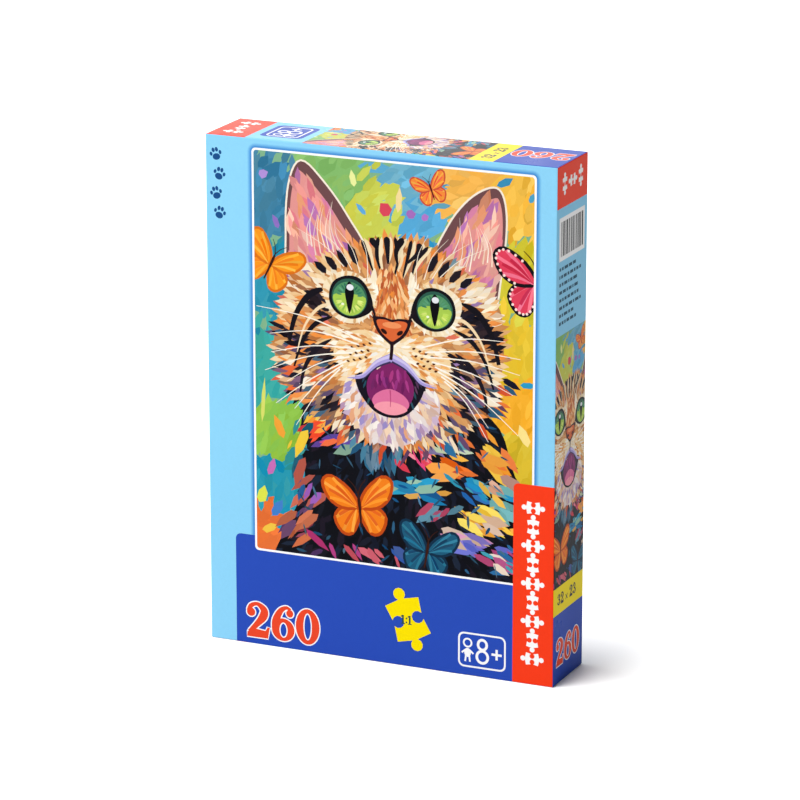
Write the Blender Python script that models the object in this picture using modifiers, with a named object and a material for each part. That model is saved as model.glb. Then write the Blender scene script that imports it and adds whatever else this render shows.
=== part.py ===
"""Boxed jigsaw puzzle, modelled in metres with +Z up.

The box stands upright on its short side, with the printed front of the lid facing -Y.
Two trays of greyboard telescope over their full depth: the lid opens towards +Y and the
base, a little smaller, opens towards -Y and sits inside it. Each tray is covered by a
paper wrap that folds over the rim and is glued down inside. In the base lies a clear
bag with the loose pieces of the puzzle.

The origin is at the centre of the footprint, on the surface that the box stands on.
"""

import math

import bmesh
import bpy
from mathutils import Vector

# Driving dimensions of the closed box
BOX_WIDTH = 0.175
BOX_DEPTH = 0.037
BOX_HEIGHT = 0.245

# Board and paper
BOARD = 0.0012
PAPER = 0.0003
GAP = 0.0003  # between pieces that touch on the real box
FOLD_RADIUS = 0.0006
TURN_IN = 0.015  # how far the wrap goes back down inside the rim

# How the trays sit in each other
SLIDE_GAP = 0.0006  # between the walls of the two trays
RIM_GAP = 0.0007  # between the rim of the base and the inside of the lid's front
LID_SHORT = 0.0005  # the lid stops this far short of the back

# Insets from the outside of a tray, through its wall
BOARD_INSET = PAPER + GAP
WALL = BOARD_INSET + BOARD + GAP + PAPER
BASE_INSET = WALL + SLIDE_GAP

# The cut of the puzzle
COLUMNS = 13
ROWS = 20
PIECE_WIDTH = 0.230 / COLUMNS
PIECE_HEIGHT = 0.320 / ROWS
PIECE_THICKNESS = 0.0018
KNOB_RADIUS = 0.0020
KNOB_REACH = 0.0024  # from the edge of the piece to the knob's centre
KNOB_DRIFT = 0.0007  # how far a knob wanders along its edge
KNOB_STEPS = 5

# How the loose pieces lie in the bag: layers from front to back, each in staggered rows
LOOSE_PIECES = 48
PER_ROW = 5
ROWS_IN_LAYER = 5
CELL = 0.027  # a little more than a piece across its knobs
LAYER_PITCH = 0.00236
FIRST_LAYER_Y = -0.0124
FIRST_ROW_Z = 0.0208
LAYER_SHIFT = 0.002
SHUFFLE = 61  # shares no factor with the number of pieces, so each piece comes up once

# The bag, which lies against the back panel of the base
BAG_FILM = 0.0003
BAG_MIDDLE_Y = 0.0012
BAG_BOTTOM = 0.0058
BAG_HALF_WIDTH = 0.0805
BAG_HALF_DEPTH = 0.0148
BAG_CORNER = 0.007
BAG_ROUNDING = 0.004
BAG_FILLED = 0.124
BAG_SEAL = 0.160
SEAL_HALF_DEPTH = 0.0009
SEAL_FIN = 0.008
VENT_RADIUS = 0.003
VENT_HEIGHT = BAG_FILLED + 0.012
VENT_DEPTH = 0.02  # of the punch, from the middle of the bag out through its front

# The rest of the pieces, as one block of their volume
HEAP_WIDTH = 0.118
HEAP_DEPTH = 0.012

# How far the parts move
LID_TRAVEL = 0.150
BAG_TRAVEL = 0.064


def clear_scene():
    """Removes whatever objects the file starts with."""
    for thing in list(bpy.data.objects):
        bpy.data.objects.remove(thing, do_unlink=True)


def new_collection(name):
    """Makes a collection in the scene."""
    collection = bpy.data.collections.new(name)
    bpy.context.scene.collection.children.link(collection)
    return collection


def plain_material(name, colour, roughness, alpha=1.0):
    """Makes a Principled material of one colour. Nothing in the box is metal."""
    material = bpy.data.materials.new(name)
    material.use_nodes = True
    shader = material.node_tree.nodes["Principled BSDF"]
    shader.inputs["Base Color"].default_value = (*colour, 1.0)
    shader.inputs["Roughness"].default_value = roughness
    shader.inputs["Metallic"].default_value = 0.0
    shader.inputs["Alpha"].default_value = alpha
    material.diffuse_color = (*colour, alpha)
    return material


def add_object(name, data, collection, material, parent=None):
    """Links a new object with its material, on an empty if it moves."""
    thing = bpy.data.objects.new(name, data)
    data.materials.append(material)
    collection.objects.link(thing)
    thing.parent = parent
    return thing


def mesh_from(name, bm):
    """Turns a bmesh into a mesh with its faces pointing out."""
    mesh = bpy.data.meshes.new(name)
    bm.to_mesh(mesh)
    bm.free()
    return mesh


def open_box(inset, closed_y, open_y):
    """A box with the footprint of the whole box less an inset, without its face at open_y."""
    bm = bmesh.new()
    bmesh.ops.create_cube(bm, size=1.0)
    size = Vector((BOX_WIDTH - 2 * inset, abs(open_y - closed_y), BOX_HEIGHT - 2 * inset))
    bmesh.ops.scale(bm, vec=size, verts=bm.verts)
    middle = Vector((0, (open_y + closed_y) / 2, BOX_HEIGHT / 2))
    bmesh.ops.translate(bm, vec=middle, verts=bm.verts)
    outward = math.copysign(1, open_y - closed_y)
    lost = [f for f in bm.faces if f.normal.y * outward > 0.9]
    bmesh.ops.delete(bm, geom=lost, context="FACES_ONLY")
    return bm


def boundary(bm):
    """The edges round an open side."""
    return [e for e in bm.edges if e.is_boundary]


def fold_in(bm):
    """Extrudes the open side's edges and gives the new corners."""
    made = bmesh.ops.extrude_edge_only(bm, edges=boundary(bm))["geom"]
    return [g for g in made if isinstance(g, bmesh.types.BMVert)]


def add_board(name, inset, closed_y, open_y, collection, material, parent=None):
    """A tray of greyboard: an open box thickened inwards."""
    bm = open_box(inset, closed_y, open_y)
    tray = add_object(name, mesh_from(name, bm), collection, material, parent)
    wall = tray.modifiers.new("board", "SOLIDIFY")
    wall.thickness = BOARD
    wall.offset = -1
    wall.use_even_offset = True
    return tray


def add_wrap(name, inset, closed_y, open_y, collection, material, parent=None):
    """A paper wrap: outside of the tray, over its rim and back down inside."""
    bm = open_box(inset, closed_y, open_y)
    inner_x = BOX_WIDTH / 2 - inset - WALL
    middle_z = BOX_HEIGHT / 2
    inner_z = middle_z - inset - WALL
    for corner in fold_in(bm):
        corner.co.x = math.copysign(inner_x, corner.co.x)
        corner.co.z = middle_z + math.copysign(inner_z, corner.co.z - middle_z)
    inward = math.copysign(TURN_IN, closed_y - open_y)
    for corner in fold_in(bm):
        corner.co.y += inward
    bmesh.ops.recalc_face_normals(bm, faces=bm.faces)
    if bm.faces[0].normal.dot(bm.faces[0].calc_center_median() - Vector((0, 0, middle_z))) < 0:
        bmesh.ops.reverse_faces(bm, faces=bm.faces)
    wrap = add_object(name, mesh_from(name, bm), collection, material, parent)
    fold = wrap.modifiers.new("folds", "BEVEL")
    fold.width = FOLD_RADIUS
    fold.segments = 2
    fold.limit_method = "ANGLE"
    paper = wrap.modifiers.new("paper", "SOLIDIFY")
    paper.thickness = PAPER
    paper.offset = -1
    paper.use_even_offset = True
    paper.use_quality_normals = True
    return wrap


def knob_side(line, place):
    """Which side the knob on an inner cut line is on: +1 or -1."""
    return 1 if math.sin(12.9 * line + 78.2 * place) > 0 else -1


def knob_shift(line, place):
    """How far the knob on a cut line sits from the middle of its edge."""
    return KNOB_DRIFT * math.sin(4.7 * line + 2.3 * place)


def cut_edge(start, end, side, shift):
    """Points along one edge of a piece, from start up to its end. Side 0 is a straight border edge."""
    points = [start]
    if side == 0:
        return points
    along = (end - start).normalized()
    out = Vector((along.y, -along.x)) * side
    centre = (start + end) / 2 + along * shift + out * KNOB_REACH
    open_angle = math.radians(150)
    for step in range(KNOB_STEPS + 1):
        turn = open_angle * (2 * step / KNOB_STEPS - 1)
        points.append(centre + (along * math.sin(turn) + out * math.cos(turn)) * KNOB_RADIUS)
    return points


def piece_outline(column, row):
    """The outline of one piece about its own centre, running anticlockwise."""
    half_w, half_h = PIECE_WIDTH / 2, PIECE_HEIGHT / 2
    low_left, low_right = Vector((-half_w, -half_h)), Vector((half_w, -half_h))
    top_right, top_left = Vector((half_w, half_h)), Vector((-half_w, half_h))
    below = 0 if row == 0 else -knob_side(row, column)
    above = 0 if row == ROWS - 1 else knob_side(row + 1, column)
    left = 0 if column == 0 else -knob_side(column + 40, row)
    right = 0 if column == COLUMNS - 1 else knob_side(column + 41, row)
    points = cut_edge(low_left, low_right, below, knob_shift(row, column))
    points += cut_edge(low_right, top_right, right, knob_shift(column + 41, row))
    points += cut_edge(top_right, top_left, above, -knob_shift(row + 1, column))
    points += cut_edge(top_left, low_left, left, -knob_shift(column + 40, row))
    return points


def slot_place(slot):
    """Where the piece in a slot of the bag lies, and how far it is turned in its layer."""
    layer, in_layer = divmod(slot, PER_ROW * ROWS_IN_LAYER)
    row, column = divmod(in_layer, PER_ROW)
    stagger = CELL / 4 if (row + layer) % 2 else -CELL / 4
    x = (column - (PER_ROW - 1) / 2) * CELL + stagger + LAYER_SHIFT * math.sin(2.4 * layer)
    y = FIRST_LAYER_Y + LAYER_PITCH * layer
    z = FIRST_ROW_Z + row * CELL * math.sqrt(3) / 2
    return Vector((x, y, z)), math.radians((137.5 * slot) % 360)


def piece_colour(column, row):
    """A colour for the part of the picture that a piece shows: bright round a dark middle."""
    across = column / (COLUMNS - 1)
    up = row / (ROWS - 1)
    if up < 0.45 and 0.25 < across < 0.9:
        return (0.03, 0.04, 0.08)
    if across < 0.4:
        return (0.05, 0.35 + 0.2 * up, 0.45)
    if up > 0.5 and across < 0.75:
        return (0.55, 0.25, 0.08)
    return (0.85, 0.55 + 0.1 * up, 0.05)


def add_piece(slot, collection, parent):
    """One loose jigsaw piece: a flat outline as thick as the board, picture side to the front."""
    row, column = divmod((SHUFFLE * slot + 7) % (COLUMNS * ROWS), COLUMNS)
    name = f"puzzle_piece_{slot + 1:02d}"
    curve = bpy.data.curves.new(name, "CURVE")
    curve.dimensions = "2D"
    curve.fill_mode = "BOTH"
    curve.extrude = PIECE_THICKNESS / 2
    outline = piece_outline(column, row)
    spline = curve.splines.new("POLY")
    spline.points.add(len(outline) - 1)
    for point, place in zip(spline.points, outline):
        point.co = (place.x, place.y, 0, 1)
    spline.use_cyclic_u = True
    material = plain_material(name, piece_colour(column, row), 0.45)
    piece = add_object(name, curve, collection, material, parent)
    place, turn = slot_place(slot)
    piece.location = place
    piece.rotation_euler = (math.radians(90), turn, 0)
    return piece


def bag_section(half_width, half_depth, height):
    """A level ring round the bag: a rectangle with rounded corners."""
    radius = min(BAG_CORNER, half_depth * 0.9)
    ring = []
    for quarter, (sx, sy) in enumerate(((1, 1), (-1, 1), (-1, -1), (1, -1))):
        for step in range(4):
            angle = math.radians(90 * quarter + 30 * step)
            x = sx * (half_width - radius) + radius * math.cos(angle)
            y = sy * (half_depth - radius) + radius * math.sin(angle)
            ring.append(Vector((x, y, height)))
    return ring


def bag_rings():
    """The bag from its rounded bottom, up its filled part and in to the flat seal."""
    rings = []
    for step in range(4):
        angle = math.radians(30 * step)
        less = BAG_ROUNDING * (1 - math.sin(angle))
        height = BAG_BOTTOM + BAG_ROUNDING * (1 - math.cos(angle))
        rings.append(bag_section(BAG_HALF_WIDTH - less, BAG_HALF_DEPTH - less, height))
    steps = 6
    for step in range(steps + 1):
        share = step / steps
        ease = (1 + math.cos(math.pi * share)) / 2
        half_depth = SEAL_HALF_DEPTH + (BAG_HALF_DEPTH - SEAL_HALF_DEPTH) * ease
        height = BAG_BOTTOM + BAG_FILLED + (BAG_SEAL - BAG_FILLED - SEAL_FIN) * share
        rings.append(bag_section(BAG_HALF_WIDTH, half_depth, height))
    rings.append(bag_section(BAG_HALF_WIDTH, SEAL_HALF_DEPTH, BAG_BOTTOM + BAG_SEAL))
    return rings


def add_bag(collection, cutters, material, parent):
    """The clear bag: a lofted pouch of film with two punched vent holes near the seal."""
    bm = bmesh.new()
    rings = [[bm.verts.new(point) for point in ring] for ring in bag_rings()]
    for lower, upper in zip(rings, rings[1:]):
        for i, corner in enumerate(lower):
            j = (i + 1) % len(lower)
            bm.faces.new((corner, lower[j], upper[j], upper[i]))
    bm.faces.new(reversed(rings[0]))
    bm.faces.new(rings[-1])
    bag = add_object("poly_bag", mesh_from("poly_bag", bm), collection, material, parent)
    film = bag.modifiers.new("film", "SOLIDIFY")
    film.thickness = BAG_FILM
    film.offset = -1
    film.use_even_offset = True
    for side in (-1, 1):
        bm = bmesh.new()
        bmesh.ops.create_cone(
            bm, cap_ends=True, segments=12, radius1=VENT_RADIUS, radius2=VENT_RADIUS, depth=VENT_DEPTH
        )
        name = "vent_left" if side < 0 else "vent_right"
        cutter = bpy.data.objects.new(name, mesh_from(name, bm))
        cutters.objects.link(cutter)
        cutter.parent = parent
        cutter.rotation_euler = (math.radians(90), 0, 0)
        cutter.location = (side * BAG_HALF_WIDTH / 2, -VENT_DEPTH / 2, BAG_BOTTOM + VENT_HEIGHT)
        cutter.hide_render = True
        cutter.display_type = "WIRE"
        vent = bag.modifiers.new(name, "BOOLEAN")
        vent.operation = "DIFFERENCE"
        vent.object = cutter
    return bag


def add_heap(collection, material, parent):
    """The rest of the pieces: one block with their volume, behind the loose ones."""
    rest = COLUMNS * ROWS - LOOSE_PIECES
    volume = rest * PIECE_WIDTH * PIECE_HEIGHT * PIECE_THICKNESS
    height = volume / (HEAP_WIDTH * HEAP_DEPTH)
    bm = bmesh.new()
    bmesh.ops.create_cube(bm, size=1.0)
    bmesh.ops.scale(bm, vec=Vector((HEAP_WIDTH, HEAP_DEPTH, height)), verts=bm.verts)
    heap = add_object("piece_heap", mesh_from("piece_heap", bm), collection, material, parent)
    last_front_layer = (LOOSE_PIECES - 1) // (PER_ROW * ROWS_IN_LAYER)
    front = FIRST_LAYER_Y + LAYER_PITCH * (last_front_layer + 1)
    heap.location = (0, front + HEAP_DEPTH / 2, BAG_BOTTOM + BAG_ROUNDING + height / 2)
    edges = heap.modifiers.new("edges", "BEVEL")
    edges.width = BAG_ROUNDING
    edges.segments = 3
    return heap


def add_slide(name, collection, travel, middle_y=0.0):
    """An empty on the middle plane that carries the pieces of one sliding body."""
    empty = bpy.data.objects.new(name, None)
    collection.objects.link(empty)
    empty.empty_display_size = 0.02
    empty.location = (0, middle_y, 0)
    empty["travel"] = travel
    return empty


def build():
    """Builds the whole puzzle, closed."""
    clear_scene()
    parts = new_collection("boxed_jigsaw_puzzle")
    cutters = new_collection("cutters")
    front, back = -BOX_DEPTH / 2, BOX_DEPTH / 2
    grey = (0.36, 0.33, 0.29)

    # The base is the part that stays still
    base_rim = front + BOARD_INSET + BOARD + RIM_GAP
    base_board_rim = base_rim + BOARD_INSET
    paper_white = plain_material("base_wrap", (0.62, 0.80, 0.90), 0.5)
    add_wrap("base_wrap", BASE_INSET, back, base_rim, parts, paper_white)
    base_grey = plain_material("base_board", grey, 0.85)
    base_board_back = back - BOARD_INSET
    base_board_inset = BASE_INSET + BOARD_INSET
    add_board("base_board", base_board_inset, base_board_back, base_board_rim, parts, base_grey)

    # The lid slides off towards -Y, by up to LID_TRAVEL
    lid_slide = add_slide("lid_slide_axis", parts, LID_TRAVEL)
    lid_rim = back - LID_SHORT
    print_blue = plain_material("lid_wrap", (0.27, 0.66, 0.93), 0.25)
    add_wrap("lid_wrap", 0, front, lid_rim, parts, print_blue, lid_slide)
    lid_grey = plain_material("lid_board", grey, 0.85)
    lid_board_front = front + BOARD_INSET
    lid_board_rim = lid_rim - BOARD_INSET
    add_board("lid_board", BOARD_INSET, lid_board_front, lid_board_rim, parts, lid_grey, lid_slide)

    # The bag and what is in it slide up inside the box, by up to BAG_TRAVEL
    bag_slide = add_slide("bag_slide_axis", parts, BAG_TRAVEL, BAG_MIDDLE_Y)
    clear_film = plain_material("poly_bag", (0.9, 0.93, 0.95), 0.15, alpha=0.25)
    add_bag(parts, cutters, clear_film, bag_slide)
    add_heap(parts, plain_material("piece_heap", (0.25, 0.22, 0.25), 0.6), bag_slide)
    for slot in range(LOOSE_PIECES):
        add_piece(slot, parts, bag_slide)
    bpy.context.view_layer.update()


build()
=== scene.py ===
"""Looks of the boxed jigsaw puzzle: a printed lid, a base, a clear bag and 260 loose pieces.

All print is painted in code as flat shapes in millimetres, one over another. A painting becomes a
mesh whose edges are the visible outlines, with a colour on each face corner, and that mesh is laid
on a panel of the box and bent round its edges. The same picture of a cat is on the front, the
sides, the back and the jigsaw pieces.
"""

import math
import random

import bpy
from mathutils import Euler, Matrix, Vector, noise
from mathutils.bvhtree import BVHTree
from mathutils.geometry import delaunay_2d_cdt


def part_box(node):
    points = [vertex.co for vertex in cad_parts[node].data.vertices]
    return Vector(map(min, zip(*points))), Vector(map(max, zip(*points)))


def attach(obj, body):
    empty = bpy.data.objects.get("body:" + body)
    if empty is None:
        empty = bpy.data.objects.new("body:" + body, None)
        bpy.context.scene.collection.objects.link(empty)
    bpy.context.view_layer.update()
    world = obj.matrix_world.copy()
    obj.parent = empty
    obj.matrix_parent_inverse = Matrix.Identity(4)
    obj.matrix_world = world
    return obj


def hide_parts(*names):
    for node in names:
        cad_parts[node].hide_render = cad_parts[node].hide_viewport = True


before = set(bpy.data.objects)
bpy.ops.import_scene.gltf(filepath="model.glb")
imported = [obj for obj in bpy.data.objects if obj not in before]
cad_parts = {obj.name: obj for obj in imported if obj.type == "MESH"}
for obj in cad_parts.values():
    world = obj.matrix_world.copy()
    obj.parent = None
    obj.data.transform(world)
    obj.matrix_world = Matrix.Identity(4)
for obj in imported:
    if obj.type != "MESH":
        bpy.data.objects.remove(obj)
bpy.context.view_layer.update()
MM = 0.001

# Sizes of the trays, from the CAD, in metres
LID_LOW, LID_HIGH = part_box("lid_wrap")
BASE_LOW, BASE_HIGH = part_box("base_wrap")
LID_W, LID_D, LID_H = (LID_HIGH - LID_LOW) / MM  # in millimetres
FOLD = 0.0006  # radius of the folded edges
FOLD_STEPS = 3
WALL = 0.0024  # from the outside of a wrap, through the board, to its turn-in
TURN_IN = 0.015  # how far the wrap goes back down inside the rim

# Colours of the print, as sRGB codes
SKY_BLUE = 0x8ED4F7
DEEP_BLUE = 0x2A4EB8
LABEL_RED = 0xFB3F1C
NUMBER_RED = 0xEE4A2B
YELLOW = 0xFFE600
WHITE = 0xFFFFFF
INK = 0x1D4E86
INK_LIGHT = 0.62  # how much of the light a printed white sends back


# ---------------------------------------------------------------- flat shapes

LEAST_WIDTH = 0.08  # of a brush line
LINE_STEPS = 5  # from one point of a brush line to the next


def hue(code):
    """An sRGB colour from its six-digit code."""
    return tuple(((code >> shift) & 255) / 255 for shift in (16, 8, 0))


def mix(first, second, share):
    """A colour between two others."""
    return tuple(a + (b - a) * share for a, b in zip(first, second))


def linear(colour):
    """A printed sRGB colour as the linear colour that the paper sends back."""
    steps = (c / 12.92 if c <= 0.04045 else ((c + 0.055) / 1.055) ** 2.4 for c in colour)
    return tuple(INK_LIGHT * c for c in steps)


def moved(points, x, y, turn=0.0, scale=1.0):
    """Points turned and scaled about the origin, then moved to x, y."""
    c, s = scale * math.cos(turn), scale * math.sin(turn)
    return [(x + px * c - py * s, y + px * s + py * c) for px, py in points]


def mirrored(side, middle, points):
    """Points given by their distance from an upright middle line. side is -1 for the left of it."""
    return [(middle + side * x, y) for x, y in points]


def around(count, start=0.0, sweep=2 * math.pi):
    """Evenly spread angles from a start."""
    return [start + sweep * k / count for k in range(count)]


def oval(cx, cy, rx, ry, turn=0.0, steps=18):
    """An ellipse, turned about its centre."""
    return moved([(rx * math.cos(a), ry * math.sin(a)) for a in around(steps)], cx, cy, turn)


def box(x0, y0, x1, y1, radius=0.0, rounded="abcd"):
    """A rectangle. Its corners a, b, c and d run anticlockwise from the lower left."""
    corners = (("a", x0, y0, 180), ("b", x1, y0, 270), ("c", x1, y1, 0), ("d", x0, y1, 90))
    out = []
    for name, x, y, start in corners:
        if radius == 0 or name not in rounded:
            out.append((x, y))
            continue
        cx = x + radius if x == x0 else x - radius
        cy = y + radius if y == y0 else y - radius
        for step in range(5):
            a = math.radians(start + 22.5 * step)
            out.append((cx + radius * math.cos(a), cy + radius * math.sin(a)))
    return out


def smooth(points, closed=True, steps=5):
    """A Catmull-Rom curve through a few points."""
    n = len(points)
    out = []
    for i in range(n if closed else n - 1):
        near = [(i + k) % n if closed else min(max(i + k, 0), n - 1) for k in (-1, 0, 1, 2)]
        a, b, c, d = (points[k] for k in near)
        for k in range(steps):
            t = k / steps
            out.append(tuple(catmull(p, q, r, s, t) for p, q, r, s in zip(a, b, c, d)))
    if not closed:
        out.append(tuple(points[-1]))
    return out


def catmull(p, q, r, s, t):
    """One coordinate between q and r on a Catmull-Rom curve."""
    return 0.5 * (2 * q + (r - p) * t + (2 * p - 5 * q + 4 * r - s) * t * t + (3 * q - p - 3 * r + s) * t**3)


def pen(path):
    """The outline of a line whose width changes: each point is x, y and the width there."""
    left, right = [], []
    last = len(path) - 1
    for i, (x, y, width) in enumerate(path):
        x0, y0, _ = path[max(i - 1, 0)]
        x1, y1, _ = path[min(i + 1, last)]
        run = math.hypot(x1 - x0, y1 - y0) or 1
        nx, ny = -(y1 - y0) / run * width / 2, (x1 - x0) / run * width / 2
        left.append((x + nx, y + ny))
        right.append((x - nx, y - ny))
    return right + left[::-1]


def ribbon(points, width, taper=1.0, steps=LINE_STEPS, head=0.0):
    """A brush line along a smooth path. It thins by taper towards its end, and over head at its start."""
    path = smooth(points, False, steps)
    shares = [i / (len(path) - 1) for i in range(len(path))]
    swells = [1 if head == 0 else min(1, 0.15 + share / head) for share in shares]
    widths = [max(width * (1 - taper * share) * swell, LEAST_WIDTH) for share, swell in zip(shares, swells)]
    return pen([(x, y, wide) for (x, y), wide in zip(path, widths)])


def grown(outline, by):
    """The outline moved outwards by a distance, or inwards where it is negative."""
    n = len(outline)
    area = sum(outline[i - 1][0] * outline[i][1] - outline[i][0] * outline[i - 1][1] for i in range(n))
    by = math.copysign(by, by * area)
    out = []
    for i, (x, y) in enumerate(outline):
        x0, y0 = outline[i - 1]
        x1, y1 = outline[(i + 1) % n]
        run = math.hypot(x1 - x0, y1 - y0) or 1
        out.append((x + by * (y1 - y0) / run, y - by * (x1 - x0) / run))
    return out


def inside(outline, x, y):
    """Whether a point is inside an outline."""
    hit = False
    x0, y0 = outline[-1]
    for x1, y1 in outline:
        if (y1 > y) != (y0 > y) and x < (x0 - x1) * (y - y1) / (y0 - y1) + x1:
            hit = not hit
        x0, y0 = x1, y1
    return hit


def extent(outline):
    """The lowest and highest x and y of an outline."""
    xs, ys = [p[0] for p in outline], [p[1] for p in outline]
    return min(xs), min(ys), max(xs), max(ys)


def spread(rng, outline, pitch):
    """Points all over an outline, on a jittered grid."""
    low_x, low_y, high_x, high_y = extent(outline)
    for row in range(int((high_y - low_y) / pitch) + 1):
        for column in range(int((high_x - low_x) / pitch) + 1):
            x = low_x + (column + rng.uniform(-0.5, 0.5)) * pitch
            y = low_y + (row + rng.uniform(-0.5, 0.5)) * pitch
            if inside(outline, x, y):
                yield x, y


class Painting:
    """Flat shapes in millimetres, painted one over another. A window clips what is painted through it."""

    def __init__(self, seed=1):
        self.shapes = []
        self.windows = []
        self.window = None
        self.rng = random.Random(seed)

    def open_window(self, outline):
        """What is painted from here on shows only inside the outline."""
        self.window = len(self.windows)
        self.windows.append(outline)

    def close_window(self):
        """What is painted from here on shows everywhere."""
        self.window = None

    def add(self, outline, colour):
        """Paints an outline. The colour is a code, a colour or a function of the place."""
        if isinstance(colour, int):
            colour = hue(colour)
        self.shapes.append((outline, colour, self.window))

    def strip(self, x0, y0, x1, y1, colour, *rounding):
        """Paints a rectangle."""
        self.add(box(x0, y0, x1, y1, *rounding), colour)

    def blob(self, points, colour, steps=5):
        """Paints a smooth outline through a few points."""
        self.add(smooth(points, True, steps), colour)

    def line(self, points, colour, *brush):
        """Paints a brush line."""
        self.add(ribbon(points, *brush), colour)

    def tint(self, codes, amount):
        """One of several colours, a little varied."""
        return self.vary(self.rng.choice(codes), amount)

    def vary(self, code, amount):
        """A colour made a little lighter or darker, and warmer or colder."""
        red, green, blue = hue(code) if isinstance(code, int) else code
        light = self.rng.gauss(0, amount)
        warm = self.rng.gauss(0, amount / 2)
        return tuple(min(1.0, max(0.0, c)) for c in (red + light + warm, green + light, blue + light - warm))

    def dab(self, x, y, length, width, turn, colour):
        """A brush mark: fuller at its start, pointed at its end and a bit uneven."""
        r = self.rng.uniform
        top = ((0.5, r(-0.1, 0.2)), (0.12, r(0.8, 1.1)), (-0.3, r(0.7, 1)))
        low = ((-0.5, 0.12), (-0.32, -r(0.7, 1)), (0.15, -r(0.8, 1.1)))
        self.add(moved([(length * p, width * q / 2) for p, q in top + low], x, y, turn), colour)

    def paste(self, other, shift_x, shift_y, scale, turn=0.0, coarse=0.0):
        """Paints another painting's shapes, moved, scaled and turned, but for those smaller than coarse."""
        low_x, low_y, high_x, high_y = extent(self.windows[self.window])
        for outline, colour, _ in other.shapes:
            copy = moved(outline, shift_x, shift_y, turn, scale)
            x0, y0, x1, y1 = extent(copy)
            if x1 < low_x or x0 > high_x or y1 < low_y or y0 > high_y:
                continue
            if max(x1 - x0, y1 - y0) >= coarse:
                self.add(copy, colour)


# ------------------------------------------------- from a painting to a mesh

FINE = 1e-4  # closer points than this are one
LEAST_AREA = 1e-7  # of a triangle that is kept, twice over


def from_lowest(outline):
    """The outline run anticlockwise from its lowest point, which is how the triangulation wants it."""
    n = len(outline)
    i = min(range(n), key=lambda k: (outline[k][1], outline[k][0]))
    (x0, y0), (x, y), (x1, y1) = (outline[(i + k) % n] for k in (-1, 0, 1))
    if (x - x0) * (y1 - y0) - (y - y0) * (x1 - x0) > 0:
        return outline[i:] + outline[:i]
    return outline[i::-1] + outline[:i:-1]


def top_shape(owners, x, y, shapes, windows, extents):
    """The number of the uppermost shape that shows at a place, or -1."""
    for number in sorted(owners, reverse=True):
        low_x, low_y, high_x, high_y = extents[number]
        if not (low_x <= x <= high_x and low_y <= y <= high_y):
            continue
        window = shapes[number][2]
        if window is None or inside(windows[window], x, y):
            return number
    return -1


def finder(points, faces):
    """A tree that tells which flat face lies under a place."""
    return BVHTree.FromPolygons([(p[0], p[1], 0.0) for p in points], faces)


def face_under(tree, x, y):
    """The number of the face under a place, or -1."""
    hit = tree.ray_cast((x, y, 1.0), (0, 0, -1))[2]
    return -1 if hit is None else hit


def add_loops(points, edges, outlines):
    """Adds closed outlines to a list of points and edges."""
    for outline in outlines:
        numbers = numbers_from(len(points), outline)
        points += [Vector(p) for p in outline]
        edges += zip(numbers, numbers[1:] + numbers[:1])


def numbers_from(first, outline):
    """The numbers of an outline's points in a list where it starts at first."""
    return list(range(first, first + len(outline)))


def middle_of(corners):
    """The middle of a triangle."""
    return sum(p.x for p in corners) / 3, sum(p.y for p in corners) / 3


def label_pieces(painting):
    """Cuts a painting along all of its outlines, and says which shape is seen in each triangle."""
    shapes, windows = painting.shapes, painting.windows
    extents = [extent(shape[0]) for shape in shapes]
    points, faces, window_edges = [], [], []
    for shape in shapes:
        faces.append(numbers_from(len(points), shape[0]))
        points += [Vector(p) for p in from_lowest(shape[0])]
    add_loops(points, window_edges, windows)
    points, _, pieces, _, _, owners = delaunay_2d_cdt(points, window_edges, faces, 0, FINE, True)
    labels = []
    for piece, owner in zip(pieces, owners):
        x, y = middle_of([points[v] for v in piece])
        labels.append(top_shape(owner, x, y, shapes, windows, extents))
    return points, pieces, labels


def seen_edges(points, pieces, labels):
    """The points and edges of the outlines between triangles that show different shapes."""
    sides = {}
    for label, (a, b, c) in zip(labels, pieces):
        for edge in ((a, b), (b, c), (c, a)):
            sides.setdefault(tuple(sorted(edge)), set()).add(label)
    seen = [edge for edge, shown in sides.items() if len(shown) > 1]
    used = sorted({v for edge in seen for v in edge})
    number_of = {v: i for i, v in enumerate(used)}
    return [points[v] for v in used], [(number_of[a], number_of[b]) for a, b in seen]


def triangulate(painting, width, height, guides=(), tags=()):
    """Cuts a page into triangles along the outlines that can be seen.

    Gives the points, the triangles, the colours of each triangle's three corners, and the tag
    outline that each triangle lies in. Guides are straight cuts where the page will be bent.
    """
    points, pieces, labels = label_pieces(painting)
    cuts, edges = seen_edges(points, pieces, labels)
    for start, end in guides:
        edges.append((len(cuts), len(cuts) + 1))
        cuts += [Vector(start), Vector(end)]
    add_loops(cuts, edges, [box(0, 0, width, height)] + list(tags))
    flat, _, triangles, _, _, _ = delaunay_2d_cdt(cuts, edges, [], 0, FINE, False)

    below = finder(points, pieces)
    tag_corners, tag_faces = [], []
    for tag in tags:
        tag_faces.append(numbers_from(len(tag_corners), tag))
        tag_corners += tag
    tag_below = finder(tag_corners, tag_faces) if tags else None
    kept, colours, tag_of = [], [], []
    for a, b, c in triangles:
        p, q, r = flat[a], flat[b], flat[c]
        area = (q.x - p.x) * (r.y - p.y) - (q.y - p.y) * (r.x - p.x)
        x, y = middle_of((p, q, r))
        if abs(area) < LEAST_AREA or not (0 < x < width and 0 < y < height):
            continue
        hit = face_under(below, x, y)
        if hit < 0 or labels[hit] < 0:
            continue
        colour = painting.shapes[labels[hit]][1]
        corners = [colour(v.x, v.y) if callable(colour) else colour for v in (p, q, r)]
        kept.append([a, b, c] if area > 0 else [a, c, b])
        colours.append(corners if area > 0 else [corners[0], corners[2], corners[1]])
        tag_of.append(face_under(tag_below, x, y) if tags else -1)
    return flat, kept, colours, tag_of


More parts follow.
